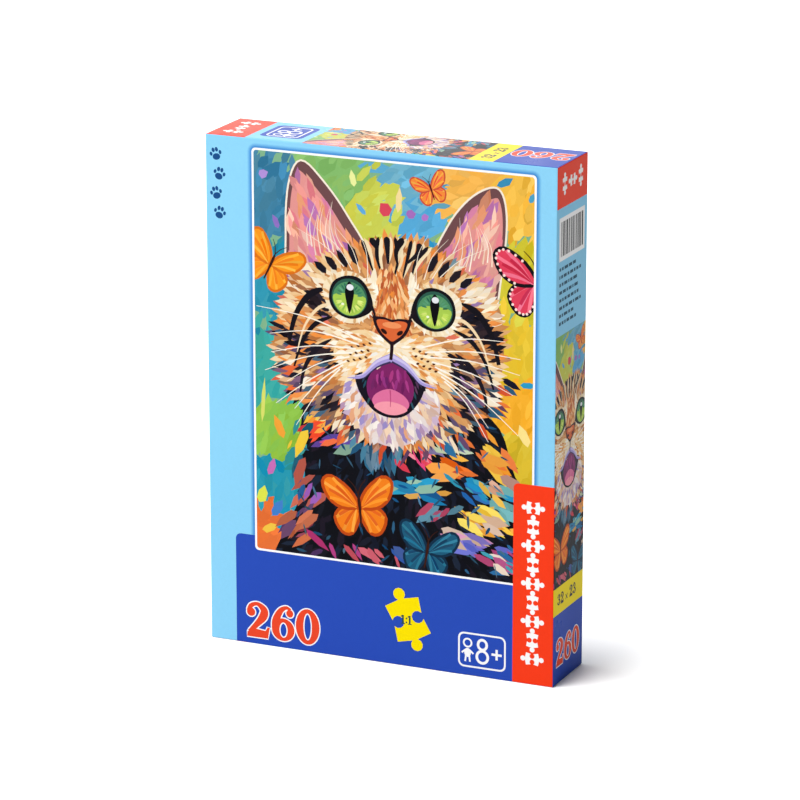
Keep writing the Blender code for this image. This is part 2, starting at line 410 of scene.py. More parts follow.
def coloured_mesh(name, points, faces, colours):
    """A mesh with a colour on each face corner, for the print. colours has a list for each face."""
    mesh = bpy.data.meshes.new(name)
    mesh.from_pydata(points, [], faces)
    layer = mesh.color_attributes.new("print", "FLOAT_COLOR", "CORNER")
    values = []
    for corners in colours:
        for colour in corners:
            values += [*linear(colour), 1.0]
    layer.data.foreach_set("color", values)
    mesh.validate()
    mesh.update()
    return mesh


def add_piece(name, mesh, material, body, slot):
    """Links a piece of the object and says what it rides on."""
    thing = bpy.data.objects.new(name, mesh)
    mesh.materials.append(material)
    bpy.context.collection.objects.link(thing)
    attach(thing, body)
    return thing


def bend(place, size, low_turn, high_turn):
    """Where a place along a panel lies on its flat part, and how far it is turned round an edge."""
    if low_turn and place < FOLD:
        return FOLD, -low_turn * (1 - place / FOLD)
    if high_turn and place > size - FOLD:
        return size - FOLD, high_turn * (1 - (size - place) / FOLD)
    return place, 0.0


def fold_lines(width, height):
    """Straight cuts, in millimetres, along the strips that are bent at the edges of a page."""
    insets = [FOLD / MM * (k + 1) / FOLD_STEPS for k in range(FOLD_STEPS)]
    lines = []
    for place in insets + [width - inset for inset in insets]:
        lines.append(((place, -1), (place, height + 1)))
    for place in insets + [height - inset for inset in insets]:
        lines.append(((-1, place), (width + 1, place)))
    return lines


def print_sheet(painting, width, height):
    """A painting cut into triangles, ready to be laid on panels of one size, in millimetres."""
    return triangulate(painting, width, height, fold_lines(width, height))[:3]


def add_panel(name, sheet, corner, across, up, size, turns, material, body, slot):
    """Lays a printed sheet on one side of a tray.

    corner is the panel's lower left corner on the sharp box, across and up its directions, and size
    its width and height. turns says how far it bends at its left, right, lower and upper edges.
    """
    width, height = size
    flat, triangles, colours = sheet
    across, up, corner = Vector(across), Vector(up), Vector(corner)
    out = across.cross(up)
    points, normals = [], []
    for p in flat:
        x, turn_x = bend(p.x * MM, width, turns[0], turns[1])
        y, turn_y = bend(p.y * MM, height, turns[2], turns[3])
        core = corner + across * x + up * y - out * FOLD
        if max(turns[:2]) > 1:
            sideways = (up * math.tan(turn_y) + out).normalized()
            facing = sideways * math.cos(turn_x) + across * math.sin(turn_x)
        elif max(turns[2:]) > 1:
            sideways = (across * math.tan(turn_x) + out).normalized()
            facing = sideways * math.cos(turn_y) + up * math.sin(turn_y)
        else:
            facing = (across * math.tan(turn_x) + up * math.tan(turn_y) + out).normalized()
        points.append(core + facing * FOLD)
        normals.append(facing)
    mesh = coloured_mesh(name, points, triangles, colours)
    mesh.shade_smooth()
    mesh.normals_split_custom_set_from_vertices(normals)
    return add_piece(name, mesh, material, body, slot)


# -------------------------------------------------------- the picture of a cat

PICTURE_W, PICTURE_H = 141.0, 194.0
NOSE = (70.5, 114.0)
EYES = ((49.2, 128.0), (91.8, 126.4))
HEAD_MIDDLE = 71.0  # the line that the stripes and cheeks are measured from

# Large fields of the background: place, size, how far turned and colour, from behind to front
FIELDS = (
    (10, 170, 26, 40, 1.2, 0x3F7FA0),
    (8, 130, 24, 42, 1.5, 0x2A8FA8),
    (8, 90, 24, 34, 1.4, 0x3BA79E),
    (10, 60, 22, 30, 1.2, 0x8CC04A),
    (10, 34, 22, 26, 1.5, 0x2596AE),
    (10, 8, 26, 18, 0.3, 0xEE7434),
    (42, 182, 30, 26, 0.9, 0x82B86A),
    (64, 170, 30, 26, 0.7, 0xC6CC52),
    (80, 182, 26, 22, 0.4, 0x66A9C4),
    (84, 168, 24, 18, 0.6, 0x55A6D2),
    (92, 150, 30, 14, 0.5, 0x9CC05A),
    (112, 186, 44, 20, 0.3, 0xEDB04E),
    (134, 180, 24, 30, 1.3, 0xF2BC48),
    (134, 146, 22, 36, 1.4, 0xD3C83A),
    (134, 110, 22, 34, 1.5, 0xE8C436),
    (134, 84, 24, 28, 1.2, 0xF8B22F),
    (134, 58, 24, 26, 1.0, 0xDDBE34),
)

# Bits of colour that stand out on the background
FLECKS = (
    (55, 170, 7, 2.6, 2.4, 0x5FA7D8),
    (88, 158, 9, 3.2, 2.6, 0x2B90C0),
    (126, 189, 9, 3.6, 0.5, 0x3C8FB4),
    (139, 183, 5, 2.6, 1.2, 0x4C9FC0),
    (74, 176, 12, 3.4, 1.5, 0xF3DA9A),
    (80, 170, 5, 4.6, 0.2, 0xA46CB8),
    (87, 169, 4, 3.4, 0.4, 0xB478C4),
    (67, 171, 7, 6.0, 2.3, 0xD8485A),
    (6, 182, 5, 4.4, 0.3, 0xA98AD0),
    (12, 160, 7, 3.0, 2.0, 0x8B6FC0),
    (51, 184, 8, 3.0, 1.8, 0xE8EC9A),
    (138, 96, 8, 3.0, 0.1, 0x2E9BC4),
    (5, 74, 22, 2.2, 1.5, 0xD8DC6A),
    (13, 62, 12, 4.6, 2.0, 0xF3A63C),
    (9, 42, 9, 3.6, 1.2, 0xC46AB0),
    (4, 28, 9, 5.0, 1.3, 0xD8E04A),
    (12, 22, 10, 5.0, 1.0, 0x3C78C0),
    (8, 12, 9, 4.0, 0.4, 0xF6C848),
    (19, 8, 10, 4.0, 1.4, 0xC8402C),
    (136, 72, 11, 4.6, 2.0, 0xFBE08A),
    (134, 128, 12, 5.0, 1.2, 0xE4DC50),
    (105, 178, 12, 5.0, 0.5, 0xF8C96C),
)

HEAD = smooth(
    [(72, 158), (47, 149), (22, 136), (13, 116), (11, 97), (20, 79), (40, 66)]
    + [(70, 60.5), (98, 67), (117, 81), (125, 100), (125.5, 120), (121, 134), (97, 152)]
)
LEFT_EAR = smooth(
    [(20, 128), (17.5, 154), (19, 178), (25, 189.5), (36, 181)]
    + [(48, 166), (59, 146), (45, 132)]
)
RIGHT_EAR = smooth(
    [(92, 148), (98.5, 166), (108.5, 179), (119, 185.5), (124.5, 183)]
    + [(126.5, 170), (124.5, 149), (119, 122), (105, 130)]
)
BODY = smooth(
    [(32, 78), (24, 60), (26, 36), (18, 16), (13, -4), (60, -6)]
    + [(145, -5), (143, 36), (132, 52), (120, 78), (80, 86)]
)

# Groups of loose strokes on the dark body: middle, spread, number, way they lie and colours
TUFTS = (
    (32, 65, 7, 5, 16, 2.5, (0xF0602A, 0xE8452A, 0xF59A3C, 0xC83A40, 0xF2C04A)),
    (45, 58, 8, 5, 16, 2.7, (0xC83E6A, 0x3F8FC8, 0x6A4FA0, 0xE8683C, 0x7FA08A)),
    (22, 50, 4, 12, 12, 2.1, (0xE8C23A, 0x2F8F90, 0xF08A34, 0x1D5A70)),
    (26, 34, 6, 9, 12, 2.2, (0x9A5AB0, 0x8A6A5A, 0xB85A48, 0x1D4E80, 0xE07A3A)),
    (24, 12, 8, 8, 14, 2.4, (0x8A3A4A, 0xB05A3A, 0x5A3A60, 0xD0704A, 0x9A2F58)),
    (66, 54, 8, 5, 26, 1.57, (0x2F6A8A, 0x4A7F98, 0x1F4F70, 0x6A8AA0, 0x2A4A60)),
    (84, 57, 7, 5, 14, 0.75, (0xE84A5A, 0xF08A9A, 0xD83A70, 0xF2B04A, 0xE8603A)),
    (98, 63, 9, 5, 18, 0.35, (0x5A9AA8, 0xB8C8A8, 0x2A6A98, 0xE8A83A, 0x8A7FA8)),
    (100, 50, 8, 4, 12, 0.3, (0xE8702A, 0xC84A3A, 0xF0A04A)),
    (82, 40, 12, 5, 14, 0.15, (0x1F7FB0, 0x2A9AC0, 0xD8A04A, 0x1A5A90, 0x8FB8A0)),
    (112, 44, 10, 5, 14, 0.5, (0x1F8FC0, 0x2A6AB0, 0x3FA0B8)),
    (122, 58, 7, 8, 16, 0.6, (0xF0A03A, 0xF8C84A, 0xC8907A, 0xE87A3A)),
    (126, 40, 8, 9, 20, 0.5, (0xD8A890, 0xE8B84A, 0xB08A80, 0x6AA8A8)),
    (116, 28, 12, 6, 22, 0.4, (0xF0C03A, 0xE8A03A, 0xD8B8A0, 0xF8D85A)),
    (112, 18, 13, 5, 20, 0.3, (0x8A78D0, 0x6A6AC0, 0xC88AB0, 0xD0B098)),
    (128, 10, 9, 6, 14, 0.5, (0x2A6AA0, 0xE8D8C8, 0xB04A78, 0x3FA0B8)),
    (92, 30, 10, 5, 8, 2.6, (0xB84A60, 0x5A8AA0, 0x8A3A5A)),
    (60, 6, 22, 4, 10, 0.9, (0xB03A78, 0x3A5AA0, 0xC85A6A)),
)
BUTTERFLY_BODY = 0x3A1C14


def paint_background(art):
    """Broad strokes of teal, green and yellow, with smaller ones over them."""
    rng = art.rng
    page = box(-4, -4, PICTURE_W + 4, PICTURE_H + 4)
    art.add(page, 0x7FB089)
    for x, y, long, wide, turn, code in FIELDS:
        art.add(oval(x, y, long * 0.62, wide * 0.55, turn, 14), code)
    for pitch, reach, width in ((9.0, 17, 7.5), (6.5, 11, 4.0)):
        spots = list(spread(rng, page, pitch))
        rng.shuffle(spots)
        for x, y in spots:
            near = min(FIELDS, key=lambda f: math.hypot(f[0] - x, f[1] - y) + rng.uniform(0, 11))
            turn = near[4] + rng.gauss(0, 0.3)
            length = reach * rng.uniform(0.6, 1.2)
            art.dab(x, y, length, width * rng.uniform(0.6, 1.2), turn, art.vary(near[5], 0.03))
    for x, y, long, wide, turn, code in FLECKS:
        art.dab(x, y, long, wide, turn, art.vary(code, 0.01))


def paint_body(art):
    """The dark body, with tufts of long bright strokes."""
    rng = art.rng
    art.add(BODY, 0x0E0F16)
    darks = (0x0C0D14, 0x12131C, 0x171A28, 0x1A2436, 0x1F1926)
    for x, y in sorted(spread(rng, BODY, 5.2), key=lambda p: p[1]):
        turn = -math.pi / 2 + (x - 72) * 0.018 + rng.gauss(0, 0.3)
        art.dab(x, y, rng.uniform(7, 13), rng.uniform(2, 4), turn, art.tint(darks, 0.008))
    for x, y, wide, high, count, lie, codes in TUFTS:
        for _ in range(count):
            px, py = x + rng.gauss(0, wide * 0.5), y + rng.gauss(0, high * 0.5)
            if not inside(BODY, px, py) and px > 26:
                continue
            length = rng.uniform(5, 16)
            width = length * rng.uniform(0.2, 0.38)
            art.dab(px, py, length, width, -lie + rng.gauss(0, 0.2), art.tint(codes, 0.03))
    for x, y in spread(rng, BODY, 10.5):
        size = (rng.uniform(3, 7), rng.uniform(0.6, 1.6))
        art.dab(x, y, *size, rng.gauss(-1.0, 0.7), art.vary(0x2C5470, 0.06))


def paint_ear(art, outline, tip, root, side):
    """One ear: a pale outline, a dark rim, pink strokes and a few long hairs."""
    rng = art.rng
    art.add(grown(outline, 0.9), 0xF6E9D6)
    art.add(outline, 0x6E4A4C)
    inner = [(x + side * 1.3, y - 1.5) for x, y in grown(outline, -2.8)]
    art.add(inner, 0xE0938E)
    pinks = (0xF29C94, 0xEA828C, 0xDB82A8, 0xBE76B4, 0xF6B49C, 0xFACBB4, 0xEA9C72)
    along = math.atan2(tip[1] - root[1], tip[0] - root[0])
    for x, y in sorted(spread(rng, inner, 4.2), key=lambda p: -p[1]):
        high = (y + 1.5 - root[1]) / (tip[1] - root[1])
        colour = mix(hue(rng.choice(pinks)), hue(0x8A4A70), 0.4 * max(0, 1 - 1.8 * high) * rng.random())
        colour = mix(colour, hue(0x8A5A60), 0.5 * max(0, 2.4 * high - 1.6))
        size = (rng.uniform(8, 15), rng.uniform(2.2, 4.4))
        art.dab(x, y, *size, along + rng.gauss(0, 0.2), art.vary(colour, 0.02))
    for k in range(10):
        x = root[0] + side * (k * 2.2 - 4)
        y = root[1] + rng.uniform(-3, 6)
        end_x = x + (tip[0] - x) * rng.uniform(0.3, 0.6) - side * 5
        end = (end_x, y + (tip[1] - y) * rng.uniform(0.35, 0.6))
        middle = ((x + end[0]) / 2 + side * 2, (y + end[1]) / 2)
        art.line([(x, y), middle, end], art.vary(0xF4DCCB, 0.04), 0.7, 0.9)


def coat(art, x, y):
    """The tabby's colour at a place on its head, and which way the fur lies there."""
    rng = art.rng
    dx, dy = x - NOSE[0], y - (NOSE[1] + 2)
    reach, bearing = math.hypot(dx, dy), math.atan2(dy, dx)
    lie = bearing + 0.25 * math.copysign(1, dx) * (1 if dy < 5 else 0)
    warm = (0xC98A52, 0xD9A066, 0xE8B77C, 0xB8733F, 0xE58B45, 0xF0CB98, 0xA0694A)
    pale = (0xF4E2C4, 0xEED2A8, 0xF7EAD6, 0xE0B890)
    dark = (0x18151E, 0x201A22, 0x2A2028)
    code = rng.choice(warm)
    if dy > 12:
        if abs(dx) > 26 and rng.random() < 0.5:
            code = rng.choice(pale)
    elif reach > 24:
        band = math.sin(bearing * 9.0 + 0.16 * reach + (0 if dx > 0 else 0.8)) + 0.5 * math.sin(reach / 5.2)
        if band > 0.5:
            code = rng.choice(dark)
        elif band < -0.7:
            code = rng.choice(pale)
    if dy < -8 and reach > 40 and rng.random() < 0.4:
        code = rng.choice((0x5A4A6A, 0x7A5A78, 0x3C5A70, 0xE86A3A, 0x8A6A58, 0x1E1A26))
    if rng.random() < 0.05:
        code = rng.choice((0xF09040, 0xD86A50, 0x6A8A98, 0x9A78A8))
    return hue(code), lie


def paint_head(art):
    """The head's fur, laid from the outside in, then the bold stripes of a tabby."""
    rng = art.rng
    art.add(HEAD, 0xB98050)
    spots = list(spread(rng, grown(HEAD, 0.5), 2.7))
    spots.sort(key=lambda p: -math.hypot(p[0] - NOSE[0], p[1] - NOSE[1]))
    for x, y in spots:
        on_eye = min(math.hypot(x - 49, y - 128), math.hypot(x - 91.6, y - 126)) < 8
        if on_eye or math.hypot(x - 69, (y - 89) * 0.9) < 14:
            continue
        colour, lie = coat(art, x, y)
        near = min(1, math.hypot(x - NOSE[0], y - NOSE[1]) / 45)
        length = rng.uniform(3.6, 6.0) + 4.2 * near
        width = rng.uniform(1.1, 1.7) + 1.3 * near
        art.dab(x, y, length, width, lie + rng.gauss(0, 0.14), art.vary(colour, 0.025))
    paint_forehead(art)
    for side in (-1, 1):
        paint_cheek(art, side)


def paint_forehead(art):
    """Dark and pale stripes that run from between the ears down to the eyes."""
    rng = art.rng
    for k in range(9):
        share = (k - 4) / 4
        top = (72 + share * 16.5, 158.5 - 3.0 * share * share)
        low = (71 + share * 9.5, 138 + 2.5 * abs(share) + (k % 2) * 7)
        bow = ((top[0] + low[0]) / 2 + 2.4 * math.sin(2.1 * k), (top[1] + low[1]) / 2)
        beside = [(top[0] + 1.7, top[1]), (bow[0] + 1.9, bow[1]), low]
        art.line(beside, art.vary(0xF2DCB4, 0.02), 2.4, 0.7, 5, 0.2)
        art.line([top, bow, low], art.vary(0x17141C, 0.006), 2.4 + 1.4 * (k % 2), 0.75, 5, 0.15)
    for side in (-1, 1):
        for k in range(4):
            x, y = HEAD_MIDDLE + side * (20 + 5.5 * k), 148.5 - 2.6 * k
            lean = math.pi / 2 - side * (0.45 + 0.15 * k)
            art.dab(x, y, 11 - k, 3.6, lean, art.vary(0x1B1720, 0.01))
            art.dab(x + side * 3, y - 1, 9, 2.2, lean, art.vary(0xE9C08A, 0.02))
        art.blob(mirrored(side, HEAD_MIDDLE, [(9, 143), (11.5, 136), (9, 128), (7.5, 134)]), 0xF6E7C8)
        for k in range(5):
            x = HEAD_MIDDLE + side * (8 + 1.0 * k)
            colour = art.vary(0xFBF1DC, 0.02)
            art.dab(x, 136 + rng.uniform(-3, 3), 7, 1.3, math.pi / 2 - side * 0.25, colour)


def paint_cheek(art, side):
    """The dark bands on one cheek, and a pale one. side is -1 for the left."""
    bands = (
        (((33.5, 131), (42, 127), (49, 117), (52.5, 104)), 0x15121A, 3.8, 0.5, 0.3),
        (((30, 118), (39, 113.5), (46, 104), (50, 92)), 0x15121A, 3.0, 0.7, 0.35),
        (((31, 107), (39, 101), (45, 91), (47, 80)), 0x1D1822, 3.4, 0.7, 0.35),
        (((28, 124), (37, 121.5), (44.5, 112), (48.5, 99)), 0xF3D8AE, 2.2, 0.8, 0.3),
    )
    for points, code, width, taper, swell in bands:
        art.line(mirrored(side, HEAD_MIDDLE, points), code, width, taper, 5, swell)


def paint_eye(art, cx, cy, side):
    """One round eye. side is -1 for the left."""
    rng = art.rng

    def about(points, colour):
        art.blob([(cx - side * x, cy + y) for x, y in points], colour, 4)

    def rays(count, start, reach, up, length, codes):
        for a in around(count, start + math.pi / 2 / count, math.pi):
            colour = art.tint(codes, 0.02)
            art.dab(cx + reach * math.cos(a), cy + up + 5.0 * math.sin(a), length, 0.9, a, colour)

    about([(-13.5, 3.5), (-7, 10.5), (2, 12), (10, 7), (13, -2), (8, -9.5), (0, -12.5), (-9, -9)], 0xF3E0BC)
    for a in around(26):
        a += rng.uniform(-0.1, 0.1)
        colour = art.tint((0xF6E7CC, 0xECCFA0, 0xD9A873, 0xF8EFDD), 0.02)
        place = (cx + 12 * math.cos(a), cy + 11 * math.sin(a))
        art.dab(*place, rng.uniform(3.5, 5.5), 1.4, a + 0.3 * side, colour)
    lid = [(-10.4, -1.5), (-8.5, 6.2), (-2, 9.9), (5, 9.4), (9.8, 4.2), (11.8, -3.8), (7.5, -8.2), (0, -10.3)]
    about(lid + [(-7.2, -7.6)], 0x141218)
    art.add(oval(cx, cy - 0.2, 9.0, 8.9, 0, 28), 0x2C5A4C)
    art.add(oval(cx, cy - 0.8, 8.4, 8.0, 0, 24), 0x4F8F62)
    about([(-8.2, 0.2), (0, 1.6), (8.2, 0.2), (5.9, -6.2), (0, -8.8), (-5.9, -6.2)], 0xA8CA50)
    rays(20, math.pi, 5.6, -1.2, 3.4, (0xBFDC5C, 0x8FB84C, 0xD8E67A))
    rays(12, 0.0, 5.4, 0.4, 3.2, (0x3F7F60, 0x5A9A74, 0x2F6A58))
    about([(0, 7.4), (2.2, 3.4), (1.8, -1.4), (0, -7.8), (-1.8, -1.4), (-2.2, 3.4)], 0x0B0B10)
    art.add(oval(cx + 0.3, cy + 4.6, 1.8, 1.5, 0, 12), 0xE6E9EE)
    art.add(oval(cx - 3.4, cy - 3.6, 0.8, 0.6, 0, 8), 0xF2F8D8)
    corner = [(-10.3, -1.5), (-12.5, -6.5), (-13.2, -11)]
    art.line([(cx + side * x, cy + y) for x, y in corner], 0x1C161C, 1.9, 0.8, 4)


def paint_muzzle(art):
    """The bridge of the nose and the two whisker pads."""
    rng = art.rng
    nx = NOSE[0]
    bridge = (0xE08A48, 0xC86A3A, 0xF0A868, 0xB85A34, 0xF6C690)
    outline = smooth([(60, 114), (63, 132), (66, 143), (75, 143), (78, 132), (81, 114)])
    for x, y in sorted(spread(rng, outline, 2.3), key=lambda p: -p[1]):
        turn = math.pi / 2 + (x - nx) * 0.05 + rng.gauss(0, 0.1)
        art.dab(x, y, rng.uniform(4, 8), rng.uniform(1.2, 2.1), turn, art.tint(bridge, 0.02))
    pads = (0xF8E6C8, 0xF3CF98, 0xEAB070, 0xF0B46C, 0xFAF0E0, 0xDC9050)
    for side in (-1, 1):
        pad = [(0.5, 107), (10.5, 113), (22.5, 111), (29.5, 101), (22.5, 92.5), (10.5, 94.5), (3, 99.5)]
        pad = smooth(mirrored(side, nx, pad), True, 4)
        art.add(pad, 0xF2D3A2)
        for x, y in spread(rng, pad, 2.1):
            codes = (0xFCF4E6, 0xF8E6C8) if abs(x - nx) < 10 else pads
            lie = math.atan2(y - 106, x - nx)
            code = rng.choice(codes)
            art.dab(x, y, rng.uniform(4, 6), rng.uniform(1.1, 1.8), lie, art.vary(code, 0.02))
        for row in range(3):
            for k in range(4):
                x, y = nx + side * (11.0 + k * 3.0 + row), 107 - row * 3.4 - k * 0.9
                art.dab(x, y, 1.9, 1.1, side * 0.4, 0x5A3020)
        lip = mirrored(side, nx, [(0, 101.5), (7.5, 98.0), (15, 91.0), (22.5, 89.5)])
        art.line(lip, 0xA89AD8, 4.4, 0.95)
        art.line([(x, y + 0.9) for x, y in lip], 0xCFC4EC, 1.6, 0.95)
        art.line([(x, y - 1.9) for x, y in lip[:3]], 0x3A2F54, 1.0, 0.6)


def paint_mouth(art):
    """The chin, and the open mouth with its tongue."""
    rng = art.rng
    chin = smooth([(69.5, 59), (56, 64), (46, 76), (49, 88), (69, 82), (91, 88), (94, 76), (84, 64)])
    art.add(chin, 0xDCC6C8)
    shades = (0xE8DCD8, 0xF5ECE4, 0xC8B0C8, 0xD8B8A8, 0xB898B8, 0xF0D0B0, 0xE0A078, 0x9F8CC0)
    for x, y in spread(rng, grown(chin, -0.5), 2.7):
        a = math.atan2(y - 100, x - 69.5) + rng.gauss(0, 0.3)
        art.dab(x, y, rng.uniform(5, 9), rng.uniform(1.8, 3.2), a, art.tint(shades, 0.02))
    edge = [(69.5, 101.5), (61, 97.5), (52.5, 93.5), (53.5, 84.5), (61, 75.5), (70, 72.8)]
    art.blob(edge + [(78.5, 75.5), (85.5, 84.5), (86.5, 93.5), (78.5, 97.5)], 0x17121E)
    for side in (-1, 1):
        for k in range(5):
            colour = art.tint((0x234A58, 0x3A3050, 0x141420, 0x5A3A5A), 0.02)
            x, y = 69.7 + side * (13.5 - k * 0.6), 90 - 2.6 * k
            art.dab(x, y, 4.5, 1.1, -math.pi / 2 + side * 0.35, colour)
    throat = [(69.8, 99.5), (62, 95.5), (57.8, 88), (60, 80), (69.5, 77), (79, 80), (81.5, 88), (77.5, 95.5)]
    art.blob(throat, 0x7D2462)
    for k in range(16):
        place = (61 + k * 1.15, 90 + rng.uniform(-3, 4))
        colour = art.tint((0x8F2C74, 0x6A1D58, 0xA83C86, 0x5C1A50), 0.02)
        art.dab(*place, rng.uniform(4, 7), rng.uniform(1.2, 2), -math.pi / 2 + rng.gauss(0, 0.2), colour)
    tongue = [(69.6, 86.5), (63, 84), (60.5, 80), (63.5, 76.5), (70, 75.2)]
    art.blob(tongue + [(76.5, 76.5), (79.2, 80), (76.5, 84)], 0xDE6F9C)
    tip = [(69.6, 80.5), (64, 79.5), (61.5, 77.2), (66, 74.8), (70, 74.2)]
    art.blob(tip + [(74, 74.8), (78.2, 77.2), (75.5, 79.5)], 0xF59AAA)
    art.line([(69.6, 86), (69.8, 82), (69.7, 78)], 0xB84A78, 0.7, 0.6, 3)


def paint_nose(art):
    """The orange nose, with its dark edge and nostrils."""
    nx = NOSE[0]
    rim = [(61, 119.5), (66, 120.4), (70.5, 119.6), (75, 120.4), (80, 119.5), (77.6, 113)]
    art.blob(rim + [(72.8, 108.6), (70.5, 107.4), (68.2, 108.6), (63.4, 113)], 0x24121A, 4)
    flesh = [(62.8, 118.4), (67, 119.2), (70.5, 118.4), (74, 119.2), (78.2, 118.4), (76, 113.4)]
    art.blob(flesh + [(72.4, 110.2), (70.5, 109.3), (68.6, 110.2), (65, 113.4)], 0xDA6636, 4)
    art.add(oval(nx, 116.9, 4.8, 1.5, 0, 14), 0xF0935C)
    for side in (-1, 1):
        art.add(oval(nx + side * 4.0, 113.6, 1.8, 1.0, side * 0.6, 10), 0x2A1210)
        art.line(mirrored(side, nx, [(9.2, 119.6), (12, 122.5), (14.5, 121.5)]), 0x3A1E1C, 1.3, 0.7, 4)
    art.line([(nx, 109.0), (70.4, 105), (69.9, 100.4)], 0x24121A, 1.8, 0.1, 3)


def paint_whiskers(art):
    """Long pale whiskers and the hairs over the eyes."""
    rng = art.rng
    nx = NOSE[0]
    for side in (-1, 1):
        for k in range(8):
            x, y = nx + side * (15 + 1.6 * k), 108 - 2.1 * k
            reach = rng.uniform(40, 56) - 1.5 * k
            a = 0.20 - 0.155 * k + rng.uniform(-0.04, 0.04)
            end = (x + side * reach * math.cos(a), y + reach * math.sin(a))
            sag = ((x + end[0]) / 2, (y + end[1]) / 2 + rng.uniform(1, 4))
            art.line([(x, y), sag, end], 0xFDF6E8, 0.75, 0.7, 6)
        for k in range(4):
            hair = [(12 + 4 * k, 139 + k), (13 + 7 * k, 151), (18 + 10 * k, 161 - k)]
            art.line(mirrored(side, nx, hair), 0xF6E8D4, 0.5, 0.8)


def paint_ruff(art):
    """The long strokes under the cheeks, where the head meets the body."""
    rng = art.rng
    count = 110
    codes = (0xE8793A, 0xF2B25A, 0xD85A38, 0xF6E0C0, 0x4A7F98, 0x2C5A78, 0xB88A78, 0x6A4A6A)
    codes += (0x241C28, 0x14121A)
    for k in range(count):
        a = -math.pi * (0.06 + 0.88 * (k + rng.random()) / count)
        reach = rng.uniform(44, 57)
        x, y = 70 + reach * 1.08 * math.cos(a), 106 + reach * 0.92 * math.sin(a)
        colour = art.tint(codes, 0.03)
        art.dab(x, y, rng.uniform(7, 13), rng.uniform(1.6, 3.4), a + rng.gauss(0, 0.25), colour)


def butterfly(art, cx, cy, size, turn, wings, edge, spots=False):
    """A butterfly from above: two pairs of wings about a thin body."""

    def place(*points):
        return moved(points, cx, cy, turn, size)

    upper = [(0.03, 0.06), (0.25, 0.52), (0.72, 0.86), (0.98, 0.72), (0.86, 0.3), (0.5, 0.03)]
    lower = [(0.03, 0.0), (0.5, 0.02), (0.72, -0.25), (0.55, -0.62), (0.28, -0.66), (0.06, -0.3)]
    for side in (-1, 1):
        for wing in (lower, upper):
            outline = smooth(place(*mirrored(side, 0, wing)), True, 3)
            art.add(grown(outline, 0.05 * size), edge)
            art.add(grown(outline, -0.035 * size), wings[0])
            for k in range(5):
                tip = wing[2 + k // 2]
                end = (side * tip[0] * (0.95 - 0.12 * (k % 2)), tip[1] * (0.95 - 0.25 * (k % 2)))
                middle = ((side * 0.08 + end[0]) / 2, (0.02 + end[1]) / 2 + 0.04)
                vein = place((side * 0.08, 0.02), middle, end)
                art.line(vein, art.vary(wings[1 + k % 2], 0.03), 0.11 * size, 0.3, 3, 0.8)
            if spots:
                for p, q in zip(outline[3:-3], outline[4:-2]):
                    dot = ((p[0] + q[0]) / 2 * 0.97 + cx * 0.03, (p[1] + q[1]) / 2 * 0.97 + cy * 0.03)
                    art.add(oval(*dot, 0.035 * size, 0.035 * size, 0, 6), 0xFFE0D8)
    art.line(place((0, 0.42), (0.01, 0), (0, -0.5)), BUTTERFLY_BODY, 0.11 * size, 0.6, 4, 0.3)
    for side in (-1, 1):
        feeler = mirrored(side, 0, [(0, 0.4), (0.1, 0.62), (0.26, 0.8)])
        art.line(place(*feeler), BUTTERFLY_BODY, 0.035 * size, 0.5, 3)


def paint_picture(seed=7):
    """The whole picture: a surprised tabby among butterflies."""
    art = Painting(seed)
    paint_background(art)
    butterfly(art, 90, 182, 9, 0.35, (0xF28A3A, 0xF6B04A, 0xE8543A), 0xC8503A)
    paint_body(art)
    paint_ear(art, LEFT_EAR, (25, 189), (44, 145), -1)
    paint_ear(art, RIGHT_EAR, (121, 185), (104, 147), 1)
    paint_ruff(art)
    paint_head(art)
    paint_mouth(art)
    paint_muzzle(art)
    paint_nose(art)
    for side, place in zip((-1, 1), EYES):
        paint_eye(art, *place, side)
    paint_whiskers(art)
    butterfly(art, 9, 139, 15, -0.45, (0xF6961F, 0xFBB23C, 0xF07F18), 0xD9701A)
    butterfly(art, 54, 27, 18, 0.1, (0xF4801C, 0xF99A34, 0xE8641A), 0xC04A14)
    butterfly(art, 88, 10, 15, -0.15, (0x1F5A78, 0x2C7A98, 0x18405C), 0x123048)
    butterfly(art, 142, 143, 20, 0.1, (0xE0405A, 0xF0708A, 0xC82C48), 0x151018, True)
    return art




# ------------------------------------------------ numerals, signs and panels

OVER = 1  # how far the print runs past the edges of a panel
FRAME = 1.0  # width of the white frame round the picture
FRAME_ROUNDING = 2.0
WINDOW_ROUNDING = 1.4
SIGN_TURN = math.radians(21)
SMALLEST_STROKE = 1.1  # of the picture where it is shown small
GLOW_BLUE = 0x3F86CF


